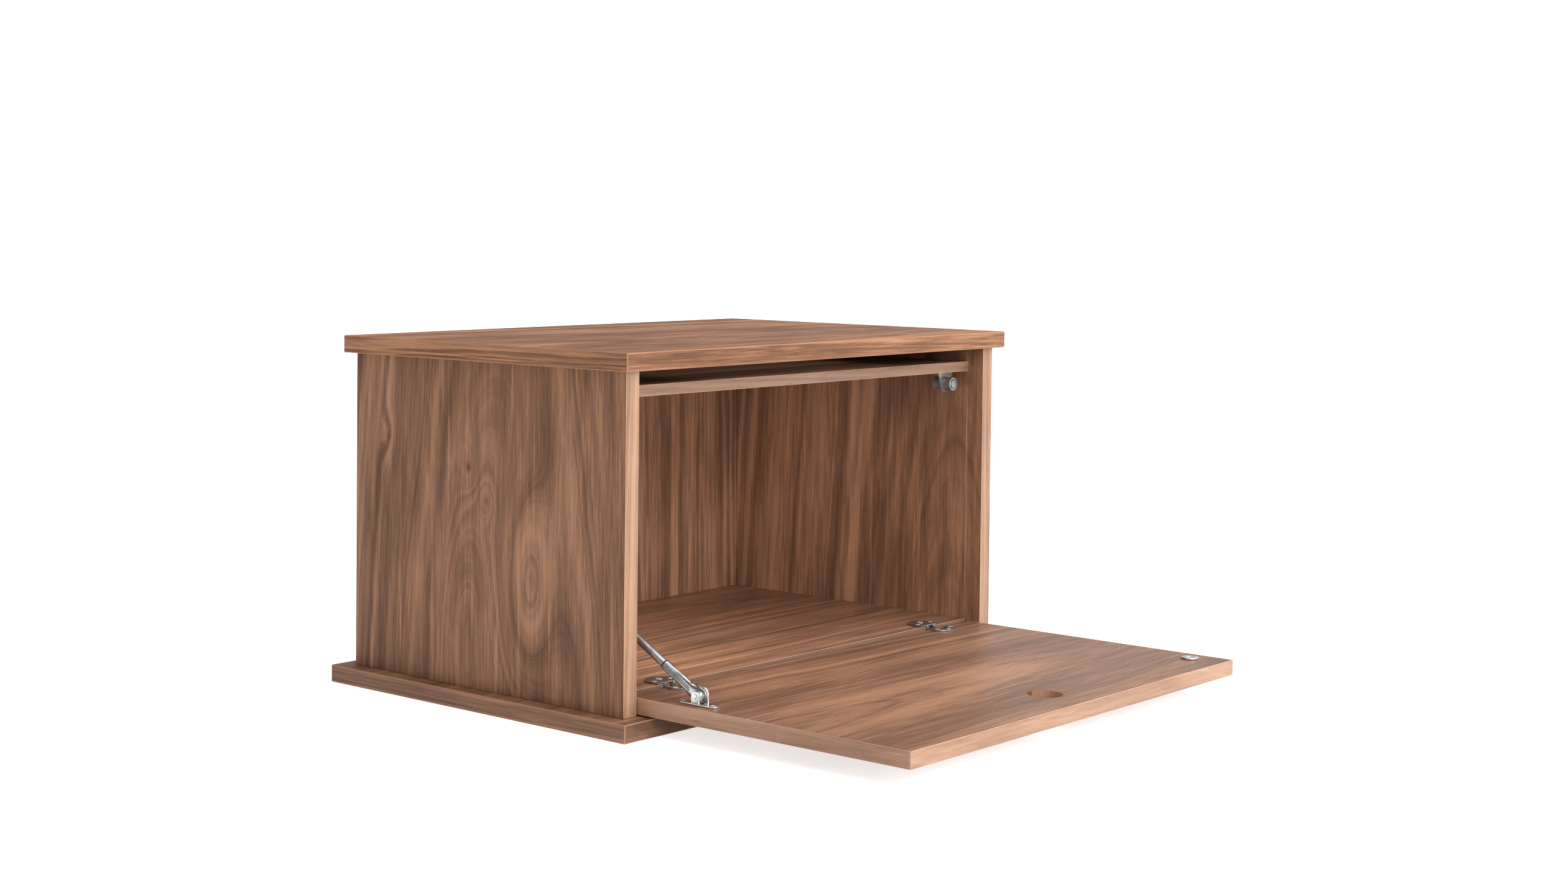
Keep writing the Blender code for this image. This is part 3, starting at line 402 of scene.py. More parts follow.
    def build_wear(self) -> bpy.types.NodeTree:
        """Faint smudges, fine brushing and crystal grains on plated metal.

        Returns:
            The group's tree. Its sizes are in millimetres.
        """
        inputs = {"X": 0.0, "Y": 0.0, "Z": 0.0}
        pen, given, result = new_group("plating_wear", inputs, ["Smudge", "Brush", "Spangle"])
        take = given.outputs
        place = pen.vector(take["X"], take["Y"], take["Z"])
        smudge = pen.noise(place, 0.11, 3.0)
        brushed = pen.vector(
            pen.math("MULTIPLY", take["X"], 0.35),
            pen.math("MULTIPLY", take["Y"], 3.0),
            pen.math("MULTIPLY", take["Z"], 3.0),
        )
        pen.feed(result.inputs["Smudge"], smudge)
        pen.feed(result.inputs["Brush"], pen.noise(brushed, 1.0, 3.0))
        pen.feed(result.inputs["Spangle"], pen.noise(place, 1.6, 3.0))
        return pen.tree


def fresh_material(name: str) -> tuple[bpy.types.Material, NodePen, bpy.types.Node]:
    """Make a material with its Principled shader.

    Args:
        name: The material's name.

    Returns:
        The material, a pen on its tree and the shader node.
    """
    material = bpy.data.materials.new(name)
    material.use_nodes = True
    pen = NodePen(material.node_tree)
    return material, pen, material.node_tree.nodes["Principled BSDF"]


def millimetres(pen: NodePen) -> tuple[list[bpy.types.NodeSocket], bpy.types.NodeSocket]:
    """Read the piece's own coordinates in millimetres.

    Args:
        pen: A pen on the material's tree.

    Returns:
        The three coordinates, and the surface's own normal.
    """
    places = pen.add("ShaderNodeTexCoord")
    split = pen.add("ShaderNodeSeparateXYZ")
    pen.feed(split.inputs[0], places.outputs["Object"])
    return [pen.math("MULTIPLY", out, 1.0 / MM) for out in split.outputs], places.outputs["Normal"]


@dataclass(frozen=True)
class Knot:
    """A knot or a swirl in a board, placed along and across the grain, in millimetres."""

    along: float
    across: float
    size: float
    stretch: float
    strength: float
    dark: float = 0.0


@dataclass(frozen=True)
class Walnut:
    """Oiled walnut veneer. Sizes are in millimetres."""

    name: str
    grain: Grain
    heart: float = 0.0
    heart_depth: float = 40.0
    taper: float = 0.03
    warp: float = 24.0
    seed: float = 0.0
    tone: float = 1.0
    shine: float = 0.42
    gloss: float = 0.35
    contrast: float = 1.0
    knots: tuple[Knot, ...] = ()
    dark: Colour = (0.098, 0.048, 0.029)
    middle: Colour = (0.215, 0.106, 0.061)
    light: Colour = (0.392, 0.202, 0.116)
    edge_wood: bool = False
    # How much lighter the painted highlight on the softened edges is.
    edge_highlight: float = 1.8

    def material(self, effects: SharedEffects) -> bpy.types.Material:
        """Build the veneer's material.

        Args:
            effects: The shared shader groups.

        Returns:
            The material.
        """
        material, pen, shader = fresh_material(self.name)
        xyz, normal = millimetres(pen)
        along, across, depth = (xyz[index] for index in self.grain.value)
        if not self.edge_wood:
            along, across = self.turn_on_ends(pen, normal, along, across, depth)
        pull: object = 0.0
        hearts: list[tuple[bpy.types.NodeSocket, float]] = []
        for knot in self.knots:
            node = pen.group(
                effects.knot, Along=along, Across=across, Centre_Along=knot.along,
                Centre_Across=knot.across, Size=knot.size, Stretch=knot.stretch, Strength=knot.strength,
            )
            pull = pen.math("ADD", node.outputs["Pull"], pull)
            if knot.dark > 0.0:
                hearts.append((node.outputs["Heart"], knot.dark))
        figure = pen.group(
            effects.figure, Along=along, Across=across, Depth=depth, Seed=self.seed + GRAIN_SEED,
            Heart=self.heart, Heart_Depth=self.heart_depth, Taper=self.taper, Warp=self.warp, Pull=pull,
        )
        fibre = pen.group(effects.fibre, Along=along, Across=across, Depth=depth, Seed=self.seed)
        tone: object = 0.5
        for node, shares in ((figure, FIGURE_SHARES), (fibre, FIBRE_SHARES)):
            for output, share in shares.items():
                swing = pen.math("SUBTRACT", node.outputs[output], 0.5)
                tone = pen.math("MULTIPLY_ADD", swing, share * self.contrast, tone)
        tone = pen.math("MULTIPLY_ADD", figure.outputs["Lines"], LINE_SHARE * self.contrast, tone)
        tone = pen.math("MULTIPLY_ADD", fibre.outputs["Streaks"], STREAK_SHARE * self.contrast, tone)
        tone = pen.remap(tone, 0.10, 0.90, 0.0, 1.0)
        colour = pen.ramp(tone, [(0.0, self.dark), (0.48, self.middle), (1.0, self.light)])
        pores = pen.math("MULTIPLY", fibre.outputs["Pores"], 0.45)
        colour = pen.blend(pores, colour, tuple(part * 0.45 for part in self.dark))
        for heart, dark in hearts:
            colour = pen.blend(pen.math("MULTIPLY", heart, dark), colour, HEART_COLOUR)
        if self.tone != 1.0:
            colour = pen.blend(1.0, colour, (self.tone, self.tone, self.tone), "MULTIPLY")
        # Painted highlight: the softened edges are lightened towards a paler colour in every view, standing
        # in for light caught on the arrises.
        painted_highlight = tuple(min(part * self.edge_highlight, 1.0) for part in self.middle)
        colour = pen.blend(pen.math("MULTIPLY", self.edge_highlight_mask(pen, normal), 0.7), colour, painted_highlight)
        pen.feed(shader.inputs["Base Color"], colour)
        shader.inputs["Specular IOR Level"].default_value = self.gloss
        rough = pen.math("MULTIPLY_ADD", fibre.outputs["Pores"], 0.20, self.shine)
        rough = pen.math("MULTIPLY_ADD", figure.outputs["Blotch"], 0.08, rough)
        pen.feed(shader.inputs["Roughness"], rough)
        bump = pen.add("ShaderNodeBump")
        bump.inputs["Strength"].default_value = 0.25
        bump.inputs["Distance"].default_value = 0.00012
        pen.feed(bump.inputs["Height"], fibre.outputs["Height"])
        pen.feed(shader.inputs["Normal"], bump.outputs["Normal"])
        return material

    @staticmethod
    def edge_highlight_mask(pen: NodePen, normal: bpy.types.NodeSocket) -> bpy.types.NodeSocket:
        """Find the narrow softened edges, whose normals follow none of the three axes, where the highlight is
        painted.

        Args:
            pen: A pen on the material's tree.
            normal: The surface's own normal.

        Returns:
            A mask that is 1 on the edges.
        """
        split = pen.add("ShaderNodeSeparateXYZ")
        pen.feed(split.inputs[0], normal)
        sizes = [pen.math("ABSOLUTE", out) for out in split.outputs]
        most = pen.math("MAXIMUM", sizes[0], pen.math("MAXIMUM", sizes[1], sizes[2]))
        return pen.math("LESS_THAN", most, 0.96)

    def turn_on_ends(
        self, pen: NodePen, normal: bpy.types.NodeSocket, along: bpy.types.NodeSocket,
        across: bpy.types.NodeSocket, depth: bpy.types.NodeSocket,
    ) -> tuple[bpy.types.NodeSocket, bpy.types.NodeSocket]:
        """Turn the grain along a board's end edges, which have veneer strips of their own.

        Args:
            pen: A pen on the material's tree.
            normal: The surface's own normal.
            along: Place along the grain.
            across: Place across the grain.
            depth: Place through the board.

        Returns:
            The two turned places.
        """
        split = pen.add("ShaderNodeSeparateXYZ")
        pen.feed(split.inputs[0], normal)
        facing = pen.math("ABSOLUTE", split.outputs[self.grain.value[0]])
        end = pen.math("GREATER_THAN", facing, 0.7)
        gap = pen.math("SUBTRACT", across, along)
        turned_along = pen.math("MULTIPLY_ADD", end, gap, along)
        narrow = pen.math("MULTIPLY_ADD", depth, 1.4, 230.0)
        turned_across = pen.math("MULTIPLY_ADD", end, pen.math("SUBTRACT", narrow, across), across)
        return turned_along, turned_across


@dataclass(frozen=True)
class PlatedMetal:
    """Plated steel or zinc, with faint smudges and brushing."""

    name: str
    colour: Colour
    dull: Colour
    roughness: float
    metallic: float = 1.0
    spangle: float = 0.0

    def material(self, effects: SharedEffects) -> bpy.types.Material:
        """Build the metal's material.

        Args:
            effects: The shared shader groups.

        Returns:
            The material.
        """
        material, pen, shader = fresh_material(self.name)
        xyz, _normal = millimetres(pen)
        wear = pen.group(effects.wear, X=xyz[0], Y=xyz[1], Z=xyz[2])
        smudge = pen.remap(wear.outputs["Smudge"], 0.35, 0.70, 0.0, 1.0)
        if self.spangle:
            grains = pen.remap(wear.outputs["Spangle"], 0.38, 0.64, 0.0, self.spangle)
            smudge = pen.math("MAXIMUM", smudge, grains)
        pen.feed(shader.inputs["Base Color"], pen.blend(smudge, self.colour, self.dull))
        rough = pen.math("MULTIPLY_ADD", wear.outputs["Brush"], 0.14, self.roughness - 0.07)
        rough = pen.math("MULTIPLY_ADD", smudge, 0.07, rough)
        pen.feed(shader.inputs["Roughness"], rough)
        shader.inputs["Metallic"].default_value = self.metallic
        bump = pen.add("ShaderNodeBump")
        bump.inputs["Strength"].default_value = 0.10
        bump.inputs["Distance"].default_value = 0.00005
        pen.feed(bump.inputs["Height"], wear.outputs["Brush"])
        pen.feed(shader.inputs["Normal"], bump.outputs["Normal"])
        return material


@dataclass(frozen=True)
class Rubber:
    """Black rubber with a fine matt skin."""

    name: str
    colour: Colour

    def material(self) -> bpy.types.Material:
        """Build the rubber's material.

        Returns:
            The material.
        """
        material, pen, shader = fresh_material(self.name)
        xyz, _normal = millimetres(pen)
        skin = pen.noise(pen.vector(*xyz), 1.7, 3.0)
        worn = tuple(part * 1.9 for part in self.colour)
        pen.feed(shader.inputs["Base Color"], pen.blend(skin, self.colour, worn))
        pen.feed(shader.inputs["Roughness"], pen.math("MULTIPLY_ADD", skin, 0.25, 0.5))
        return material


NICKEL = PlatedMetal("bright_nickel", (0.80, 0.80, 0.79), (0.62, 0.62, 0.61), 0.20)
STAY_STEEL = PlatedMetal("stay_steel", (0.60, 0.61, 0.61), (0.26, 0.27, 0.27), 0.27, 0.95, 0.85)
HINGE_STEEL = PlatedMetal("hinge_steel", (0.42, 0.43, 0.435), (0.22, 0.225, 0.23), 0.24, 0.9)
SCREW_STEEL = PlatedMetal("screw_steel", (0.93, 0.93, 0.93), (0.70, 0.70, 0.70), 0.22, 0.55)
ZINC = PlatedMetal("grey_zinc", (0.36, 0.38, 0.39), (0.24, 0.25, 0.26), 0.40, 0.85)
DARK_RING = Rubber("ring_rubber", (0.018, 0.018, 0.020))
BEECH = Walnut(
    "beech_dowel", Grain.UPRIGHT_ON_SIDE, dark=(0.40, 0.25, 0.13), middle=(0.56, 0.38, 0.22),
    light=(0.68, 0.50, 0.31), edge_wood=True,
)
STRIP_TONES = {
    "dark": (0.24, 0.125, 0.075), "middle": (0.37, 0.210, 0.130), "light": (0.48, 0.290, 0.190),
}
BOARD_FINISHES = {
    "top_board": Walnut(
        "walnut_top", Grain.ALONG_X, heart=-60.0, warp=34.0, seed=1.3, gloss=0.03,
        contrast=1.25, tone=1.10,
    ),
    "base_board": Walnut("walnut_base", Grain.ALONG_X, heart=120.0, taper=0.02, seed=2.1, tone=0.92),
    "floor_panel": Walnut("walnut_floor", Grain.ALONG_X, heart=90.0, taper=0.02, seed=3.4),
    "inner_top_panel": Walnut("walnut_inner_top", Grain.ALONG_X, heart=80.0, taper=0.02, seed=4.2),
    "back_panel": Walnut(
        "walnut_back", Grain.UPRIGHT_ON_BACK, heart=-210.0, taper=0.035, warp=26.0, seed=5.6,
        contrast=1.1, knots=(Knot(150.0, -195.0, 24.0, 3.2, 10.0),),
    ),
    "side_panel_left": Walnut(
        "walnut_left_side", Grain.UPRIGHT_ON_SIDE, heart=-20.0, heart_depth=55.0, taper=0.045, warp=30.0,
        seed=6.1, gloss=0.15,
        knots=(
            Knot(238.0, 22.0, 13.0, 1.8, 9.0, 0.8), Knot(206.0, -4.0, 11.0, 1.8, -8.0, 0.5),
            Knot(125.0, -62.0, 34.0, 2.8, 26.0), Knot(85.0, 30.0, 34.0, 3.4, -14.0),
            Knot(262.0, 140.0, 12.0, 1.8, 8.0, 0.5),
        ),
    ),
    "side_panel_right": Walnut(
        "walnut_right_side", Grain.UPRIGHT_ON_SIDE, heart=-150.0, taper=0.03, warp=26.0, seed=7.7,
    ),
    "flap_panel": Walnut(
        "walnut_flap", Grain.ALONG_X, heart=-370.0, heart_depth=60.0, taper=0.03, warp=30.0, seed=8.9,
        shine=0.38, gloss=0.45, tone=0.93,
    ),
}


def strip_finish(name: str, grain: Grain, seed: float, tone: float = 0.94) -> Walnut:
    """The paler veneer strip on an edge.

    Args:
        name: The finish's name.
        grain: The way the strip runs.
        seed: Which piece of veneer it is cut from.
        tone: How light it is.

    Returns:
        The finish.
    """
    return Walnut(
        name, grain, warp=12.0, seed=seed, tone=tone, contrast=0.9, edge_wood=True, **STRIP_TONES,
    )


STRIP_FINISHES = {
    "side_panel_left_front_band": strip_finish("strip_left_side", Grain.UPRIGHT_ON_BACK, 11.0),
    "side_panel_right_front_band": strip_finish("strip_right_side", Grain.UPRIGHT_ON_BACK, 12.0),
    "floor_panel_front_band": strip_finish("strip_floor", Grain.ALONG_X, 13.0, 0.60),
    # The inner top's strip is darker than the other strips, partly painted shade for the overhang of the top
    # board.
    "inner_top_panel_front_band": strip_finish("strip_inner_top", Grain.ALONG_X, 14.0, 0.62),
    "flap_front_band": strip_finish("strip_flap_front", Grain.ALONG_X, 15.0),
    "flap_left_band": strip_finish("strip_flap_left", Grain.ALONG_Y, 16.0),
    "flap_right_band": strip_finish("strip_flap_right", Grain.ALONG_Y, 17.0),
}


class ScrewTree:
    """A Geometry Nodes tree that puts a countersunk screw at each point of a mesh."""

    SIZES = {
        "Head Radius": 2.9 * MM, "Shank Radius": 1.4 * MM, "Head Depth": 1.5 * MM, "Length": 10.5 * MM,
        "Recess Span": 3.4 * MM, "Recess Width": 0.8 * MM, "Recess Depth": 1.0 * MM,
    }

    def __init__(self) -> None:
        """Build the tree."""
        tree = bpy.data.node_groups.new("screw_at_points", "GeometryNodeTree")
        self.tree = tree
        self.sockets: dict[str, str] = {}
        tree.interface.new_socket("Geometry", in_out="INPUT", socket_type="NodeSocketGeometry")
        for name, size in self.SIZES.items():
            item = tree.interface.new_socket(name, in_out="INPUT", socket_type="NodeSocketFloat")
            item.default_value = size
            self.sockets[name] = item.identifier
        item = tree.interface.new_socket("Two Slots", in_out="INPUT", socket_type="NodeSocketBool")
        item.default_value = True
        self.sockets["Two Slots"] = item.identifier
        item = tree.interface.new_socket("Finish", in_out="INPUT", socket_type="NodeSocketMaterial")
        self.sockets["Finish"] = item.identifier
        tree.interface.new_socket("Geometry", in_out="OUTPUT", socket_type="NodeSocketGeometry")
        self.pen = NodePen(tree)
        self.given = self.pen.add("NodeGroupInput").outputs
        self.fill()

    def moved(
        self, geometry: bpy.types.NodeSocket, height: object, angle: float = 0.0
    ) -> bpy.types.NodeSocket:
        """Move a shape along the screw's axis.

        Args:
            geometry: The shape.
            height: Its new height.
            angle: Its turn about the axis.

        Returns:
            The moved shape's socket.
        """
        node = self.pen.add("GeometryNodeTransform")
        self.pen.feed(node.inputs["Geometry"], geometry)
        self.pen.feed(node.inputs["Translation"], self.pen.vector(0.0, 0.0, height))
        node.inputs["Rotation"].default_value = (0.0, 0.0, angle)
        return node.outputs["Geometry"]

    def recess(self, angle: float) -> bpy.types.NodeSocket:
        """One slot of the head's recess.

        Args:
            angle: Its turn about the axis.

        Returns:
            The slot's socket.
        """
        pen = self.pen
        box = pen.add("GeometryNodeMeshCube")
        tall = pen.math("MULTIPLY", self.given["Recess Depth"], 2.0)
        size = pen.vector(self.given["Recess Span"], self.given["Recess Width"], tall)
        pen.feed(box.inputs["Size"], size)
        return self.moved(box.outputs["Mesh"], 0.0, angle)

    def fill(self) -> None:
        """Place the nodes: head, shank, recess, instances, real meshes and finish."""
        pen = self.pen
        head = pen.add("GeometryNodeMeshCone")
        head.inputs["Vertices"].default_value = 20
        pen.feed(head.inputs["Radius Top"], self.given["Head Radius"])
        pen.feed(head.inputs["Radius Bottom"], self.given["Shank Radius"])
        pen.feed(head.inputs["Depth"], self.given["Head Depth"])
        low = pen.math("MULTIPLY", self.given["Head Depth"], -1.0)
        shank = pen.add("GeometryNodeMeshCylinder")
        shank.inputs["Vertices"].default_value = 20
        pen.feed(shank.inputs["Radius"], pen.math("MULTIPLY", self.given["Shank Radius"], 0.98))
        pen.feed(shank.inputs["Depth"], self.given["Length"])
        join = pen.add("GeometryNodeMeshBoolean", operation="UNION", solver="EXACT")
        half = pen.math("MULTIPLY", self.given["Length"], -0.5)
        half = pen.math("SUBTRACT", half, pen.math("MULTIPLY", self.given["Head Depth"], 0.6))
        half = pen.math("MINIMUM", half, low)
        pen.feed(join.inputs["Mesh 2"], self.moved(head.outputs["Mesh"], low))
        pen.feed(join.inputs["Mesh 2"], self.moved(shank.outputs["Mesh"], half))
        cut = pen.add("GeometryNodeMeshBoolean", operation="DIFFERENCE", solver="EXACT")
        pen.feed(cut.inputs["Mesh 1"], join.outputs["Mesh"])
        pen.feed(cut.inputs["Mesh 2"], self.recess(math.radians(35.0)))
        second = pen.add("GeometryNodeSwitch", input_type="GEOMETRY")
        pen.feed(second.inputs["Switch"], self.given["Two Slots"])
        pen.feed(second.inputs["True"], self.recess(math.radians(125.0)))
        pen.feed(cut.inputs["Mesh 2"], second.outputs["Output"])
        facing = pen.add("GeometryNodeInputNamedAttribute", data_type="FLOAT_VECTOR")
        facing.inputs["Name"].default_value = "facing"
        turn = pen.add("FunctionNodeAlignRotationToVector", axis="Z")
        pen.feed(turn.inputs["Vector"], facing.outputs["Attribute"])
        spread = pen.add("GeometryNodeInstanceOnPoints")
        pen.feed(spread.inputs["Points"], self.given["Geometry"])
        pen.feed(spread.inputs["Instance"], cut.outputs["Mesh"])
        pen.feed(spread.inputs["Rotation"], turn.outputs["Rotation"])
        real = pen.add("GeometryNodeRealizeInstances")
        pen.feed(real.inputs["Geometry"], spread.outputs["Instances"])
        paint = pen.add("GeometryNodeSetMaterial")
        pen.feed(paint.inputs["Geometry"], real.outputs["Geometry"])
        pen.feed(paint.inputs["Material"], self.given["Finish"])
        result = pen.add("NodeGroupOutput")
        pen.feed(result.inputs["Geometry"], paint.outputs["Geometry"])

    def place(
        self, name: str, seats: list[tuple[Place, Place]], finish: bpy.types.Material,
        drive: Drive = Drive.CROSS, **sizes: float,
    ) -> bpy.types.Object:
        """Put a screw at each seat and bake the result to a plain mesh.

        Args:
            name: The new piece's name.
            seats: The middle of each head's face and the way the face looks.
            finish: The screws' material.
            drive: The recess in their heads.
            sizes: Sizes that differ from the tree's own, by name with underscores.

        Returns:
            The new piece.
        """
        points = bpy.data.meshes.new(name + "_seats")
        points.from_pydata([seat for seat, _way in seats], [], [])
        ways = points.attributes.new("facing", "FLOAT_VECTOR", "POINT")
        ways.data.foreach_set("vector", [part for _seat, way in seats for part in way])
        holder = bpy.data.objects.new(name + "_seats", points)
        bpy.context.scene.collection.objects.link(holder)
        modifier = holder.modifiers.new("screws", "NODES")
        modifier.node_group = self.tree
        for size, value in sizes.items():
            modifier[self.sockets[size.replace("_", " ")]] = value
        modifier[self.sockets["Two Slots"]] = drive is Drive.CROSS
        modifier[self.sockets["Finish"]] = finish
        graph = bpy.context.evaluated_depsgraph_get()
        mesh = bpy.data.meshes.new_from_object(holder.evaluated_get(graph), depsgraph=graph)
        mesh.name = name
        bpy.data.objects.remove(holder)
        piece = bpy.data.objects.new(name, mesh)
        bpy.context.scene.collection.objects.link(piece)
        mesh.shade_smooth()
        mesh.set_sharp_from_angle(angle=math.radians(30.0))
        return piece


@dataclass
class Workshop:
    """What every sub-assembly needs: the frame, the finishes and the screw tree."""

    nodes: dict[str, bpy.types.Object]
    effects: SharedEffects = field(default_factory=SharedEffects)
    made: dict[str, bpy.types.Material] = field(default_factory=dict)
    screws: ScrewTree = field(default_factory=ScrewTree)

    def finish(self, look: Walnut | PlatedMetal | Rubber) -> bpy.types.Material:
        """The material of a finish, built once.

        Args:
            look: The finish.

        Returns:
            Its material.
        """
        if look.name not in self.made:
            plain = isinstance(look, Rubber)
            self.made[look.name] = look.material() if plain else look.material(self.effects)
        return self.made[look.name]

    def dress(self, name: str, look: Walnut | PlatedMetal | Rubber) -> None:
        """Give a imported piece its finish.

        Args:
            name: The piece's name.
            look: Its finish.
        """
        slots = self.nodes[name].data.materials
        slots.clear()
        slots.append(self.finish(look))
        LOG.info("dressed %s in %s", name, look.name)

    def middle(self, name: str) -> Vector:
        """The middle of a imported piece's box.

        Args:
            name: The piece's name.

        Returns:
            The middle.
        """
        low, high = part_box(name)
        return (low + high) / 2

    def softened(
        self, name: str, look: PlatedMetal, body: str, slot: str, width: float
    ) -> bpy.types.Object:
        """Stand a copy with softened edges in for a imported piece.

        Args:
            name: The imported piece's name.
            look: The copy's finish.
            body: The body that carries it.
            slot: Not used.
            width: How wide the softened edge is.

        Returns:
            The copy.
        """
        shape = bmesh.new()
        shape.from_mesh(self.nodes[name].data)
        bmesh.ops.remove_doubles(shape, verts=shape.verts, dist=0.00002)
        bmesh.ops.dissolve_limit(
            shape, angle_limit=math.radians(0.6), verts=shape.verts, edges=shape.edges
        )
        sharp = [
            edge for edge in shape.edges
            if len(edge.link_faces) == 2 and edge.calc_face_angle() > math.radians(40.0)
        ]
        bmesh.ops.bevel(
            shape, geom=sharp, offset=width, segments=2, profile=0.6, affect="EDGES", clamp_overlap=True
        )
        mesh = bpy.data.meshes.new(name + "_soft")
        shape.to_mesh(mesh)
        shape.free()
        mesh.materials.append(self.finish(look))
        mesh.shade_smooth()
        mesh.set_sharp_from_angle(angle=SMOOTH_UNDER)
        piece = bpy.data.objects.new(name + "_soft", mesh)
        bpy.context.scene.collection.objects.link(piece)
        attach(piece, body)
        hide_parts(name)
        LOG.info("softened the edges of %s", name)
        return piece


@dataclass
class Cabinet:
    """The boards, the veneer strips and the hidden dowels."""

    shop: Workshop
    dowel_prefix: str = "dowel_"

    def build(self) -> None:
        """Dress every wooden piece."""
        for name, look in {**BOARD_FINISHES, **STRIP_FINISHES}.items():
            self.shop.dress(name, look)
        for name in self.shop.nodes:
            if name.startswith(self.dowel_prefix):
                self.shop.dress(name, BEECH)


@dataclass
class FlapHinge:
    """One hinge: two plates, the pin, its screws and its two adjusters."""

    shop: Workshop
    hand: str
    edge: float = 0.35 * MM
    cam_radius: float = 3.4 * MM
    adjuster_radius: float = 2.1 * MM
    floor_cam_back: float = 12.5 * MM
    flap_cam_back: float = 5.5 * MM
    proud: float = 0.4 * MM

    def build(self) -> None:
        """Dress the hinge and add its adjusters."""
        name = "hinge_" + self.hand
        self.shop.softened(name + "_floor_half", HINGE_STEEL, "cabinet", "nickel_plated", self.edge)
        self.shop.softened(name + "_flap_half", HINGE_STEEL, "flap", "nickel_plated", self.edge)
        self.shop.dress(name + "_pin", SCREW_STEEL)
        self.add_adjusters(name)

    def add_adjusters(self, name: str) -> None:
        """Put a cam on the floor plate and a smaller one on the flap plate.

        Args:
            name: The start of the hinge's piece names.
        """
        steel = self.shop.finish(SCREW_STEEL)
        low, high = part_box(name + "_floor_half")
        x = (low.x + high.x) / 2
        seat = ((x, high.y - self.floor_cam_back, high.z + self.proud), (0.0, 0.0, 1.0))
        cam = self.shop.screws.place(
            name + "_floor_cam", [seat], steel, Drive.CROSS, Head_Radius=self.cam_radius,
            Shank_Radius=self.cam_radius * 0.9, Head_Depth=0.6 * MM, Length=1.0 * MM, Recess_Span=4.6 * MM,
            Recess_Width=1.1 * MM, Recess_Depth=0.5 * MM,
        )
        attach(cam, "cabinet")
        low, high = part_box(name + "_flap_half")
        seat = ((x, low.y + self.flap_cam_back, high.z + self.proud), (0.0, 0.0, 1.0))
        cam = self.shop.screws.place(
            name + "_flap_cam", [seat], steel, Drive.SLOT, Head_Radius=self.adjuster_radius,
            Shank_Radius=self.adjuster_radius * 0.9, Head_Depth=0.6 * MM, Length=1.0 * MM,
            Recess_Span=3.0 * MM, Recess_Width=0.8 * MM, Recess_Depth=0.5 * MM,
        )
        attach(cam, "flap")
        LOG.info("added the adjusters of %s", name)


@dataclass
class Stay:
    """The telescopic stay at the left, with its two brackets."""

    shop: Workshop
    slope: float = math.radians(29.5)
    sleeve_radius: float = 5.0 * MM
    seam_width: float = 0.45 * MM
    seam_depth: float = 0.5 * MM
    hole_radius: float = 1.2 * MM
    hole_from_pin: float = 13.0 * MM
    seam_from_hole: float = 3.4 * MM
    seam_length: float = 60.0 * MM

    def build(self) -> None:
        """Dress the stay's pieces and cut the sleeve's seam and hole."""
        shop = self.shop
        shop.softened("stay_flap_bracket", NICKEL, "flap", "nickel_plated", 0.3 * MM)
        for name in ("stay_rod", "stay_cylinder", "stay_side_bracket"):
            shop.dress(name, STAY_STEEL)
        shop.dress("stay_flap_pin", SCREW_STEEL)
        shop.dress("stay_ring", DARK_RING)
        self.cut_sleeve()

    def box_at(self, centre: Vector, size: Place) -> bpy.types.Object:
        """A box turned to lie along the stay.

        Args:
            centre: Its middle.
            size: Its size across the unit, along the stay and square to both.

        Returns:
            The box.
        """
        shape = bmesh.new()
        bmesh.ops.create_cube(shape, size=1.0)
        bmesh.ops.scale(shape, vec=size, verts=shape.verts)
        turn = Matrix.Translation(centre) @ Matrix.Rotation(self.slope, 4, "X")
        bmesh.ops.transform(shape, matrix=turn, verts=shape.verts)
        mesh = bpy.data.meshes.new("stay_cut")
        shape.to_mesh(mesh)
        shape.free()
        item = bpy.data.objects.new("stay_cut", mesh)
        bpy.context.scene.collection.objects.link(item)
        return item

    def cut_sleeve(self) -> None:
        """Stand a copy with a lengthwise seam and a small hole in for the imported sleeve."""
        name = "stay_sleeve"
        pin = self.shop.middle("stay_flap_pin")
        way = Vector((0.0, math.cos(self.slope), math.sin(self.slope)))
        up = Vector((0.0, -math.sin(self.slope), math.cos(self.slope)))
        side = Vector((-1.0, 0.0, 0.0))
        seam_along = self.hole_from_pin - self.seam_from_hole + self.seam_length / 2
        seam_place = pin + way * seam_along + side * self.sleeve_radius
        hole_place = pin + way * self.hole_from_pin + up * self.sleeve_radius
        cutters = [
            self.box_at(seam_place, (2 * self.seam_depth, self.seam_length, self.seam_width)),
            self.box_at(hole_place, (2 * self.hole_radius, 1.6 * self.hole_radius, 2.4 * MM)),
        ]
        mesh = self.shop.nodes[name].data.copy()
        piece = bpy.data.objects.new(name + "_cut", mesh)
        bpy.context.scene.collection.objects.link(piece)
        for cutter in cutters:
            cut = piece.modifiers.new("cut", "BOOLEAN")
            cut.operation = "DIFFERENCE"
            cut.solver = "EXACT"
            cut.object = cutter
        graph = bpy.context.evaluated_depsgraph_get()
        piece.data = bpy.data.meshes.new_from_object(piece.evaluated_get(graph), depsgraph=graph)
        piece.modifiers.clear()
        for cutter in cutters:
            bpy.data.objects.remove(cutter)
        piece.data.materials.clear()
        piece.data.materials.append(self.shop.finish(STAY_STEEL))
        piece.data.shade_smooth()
        piece.data.set_sharp_from_angle(angle=SMOOTH_UNDER)
        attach(piece, "stay_rod")
        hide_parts(name)
        LOG.info("cut the seam and the hole of %s", name)


@dataclass
class Catch:
    """The push catch under the inner top and the striker on the flap."""

    shop: Workshop

    def build(self) -> None:
        """Dress the catch and the striker."""
        for name in ("catch_body", "catch_plunger"):
            self.shop.dress(name, ZINC)
        self.shop.softened("catch_bracket", ZINC, "cabinet", "zinc_plated", 0.25 * MM)
        self.shop.softened("striker_disc", NICKEL, "flap", "nickel_plated", 0.2 * MM)


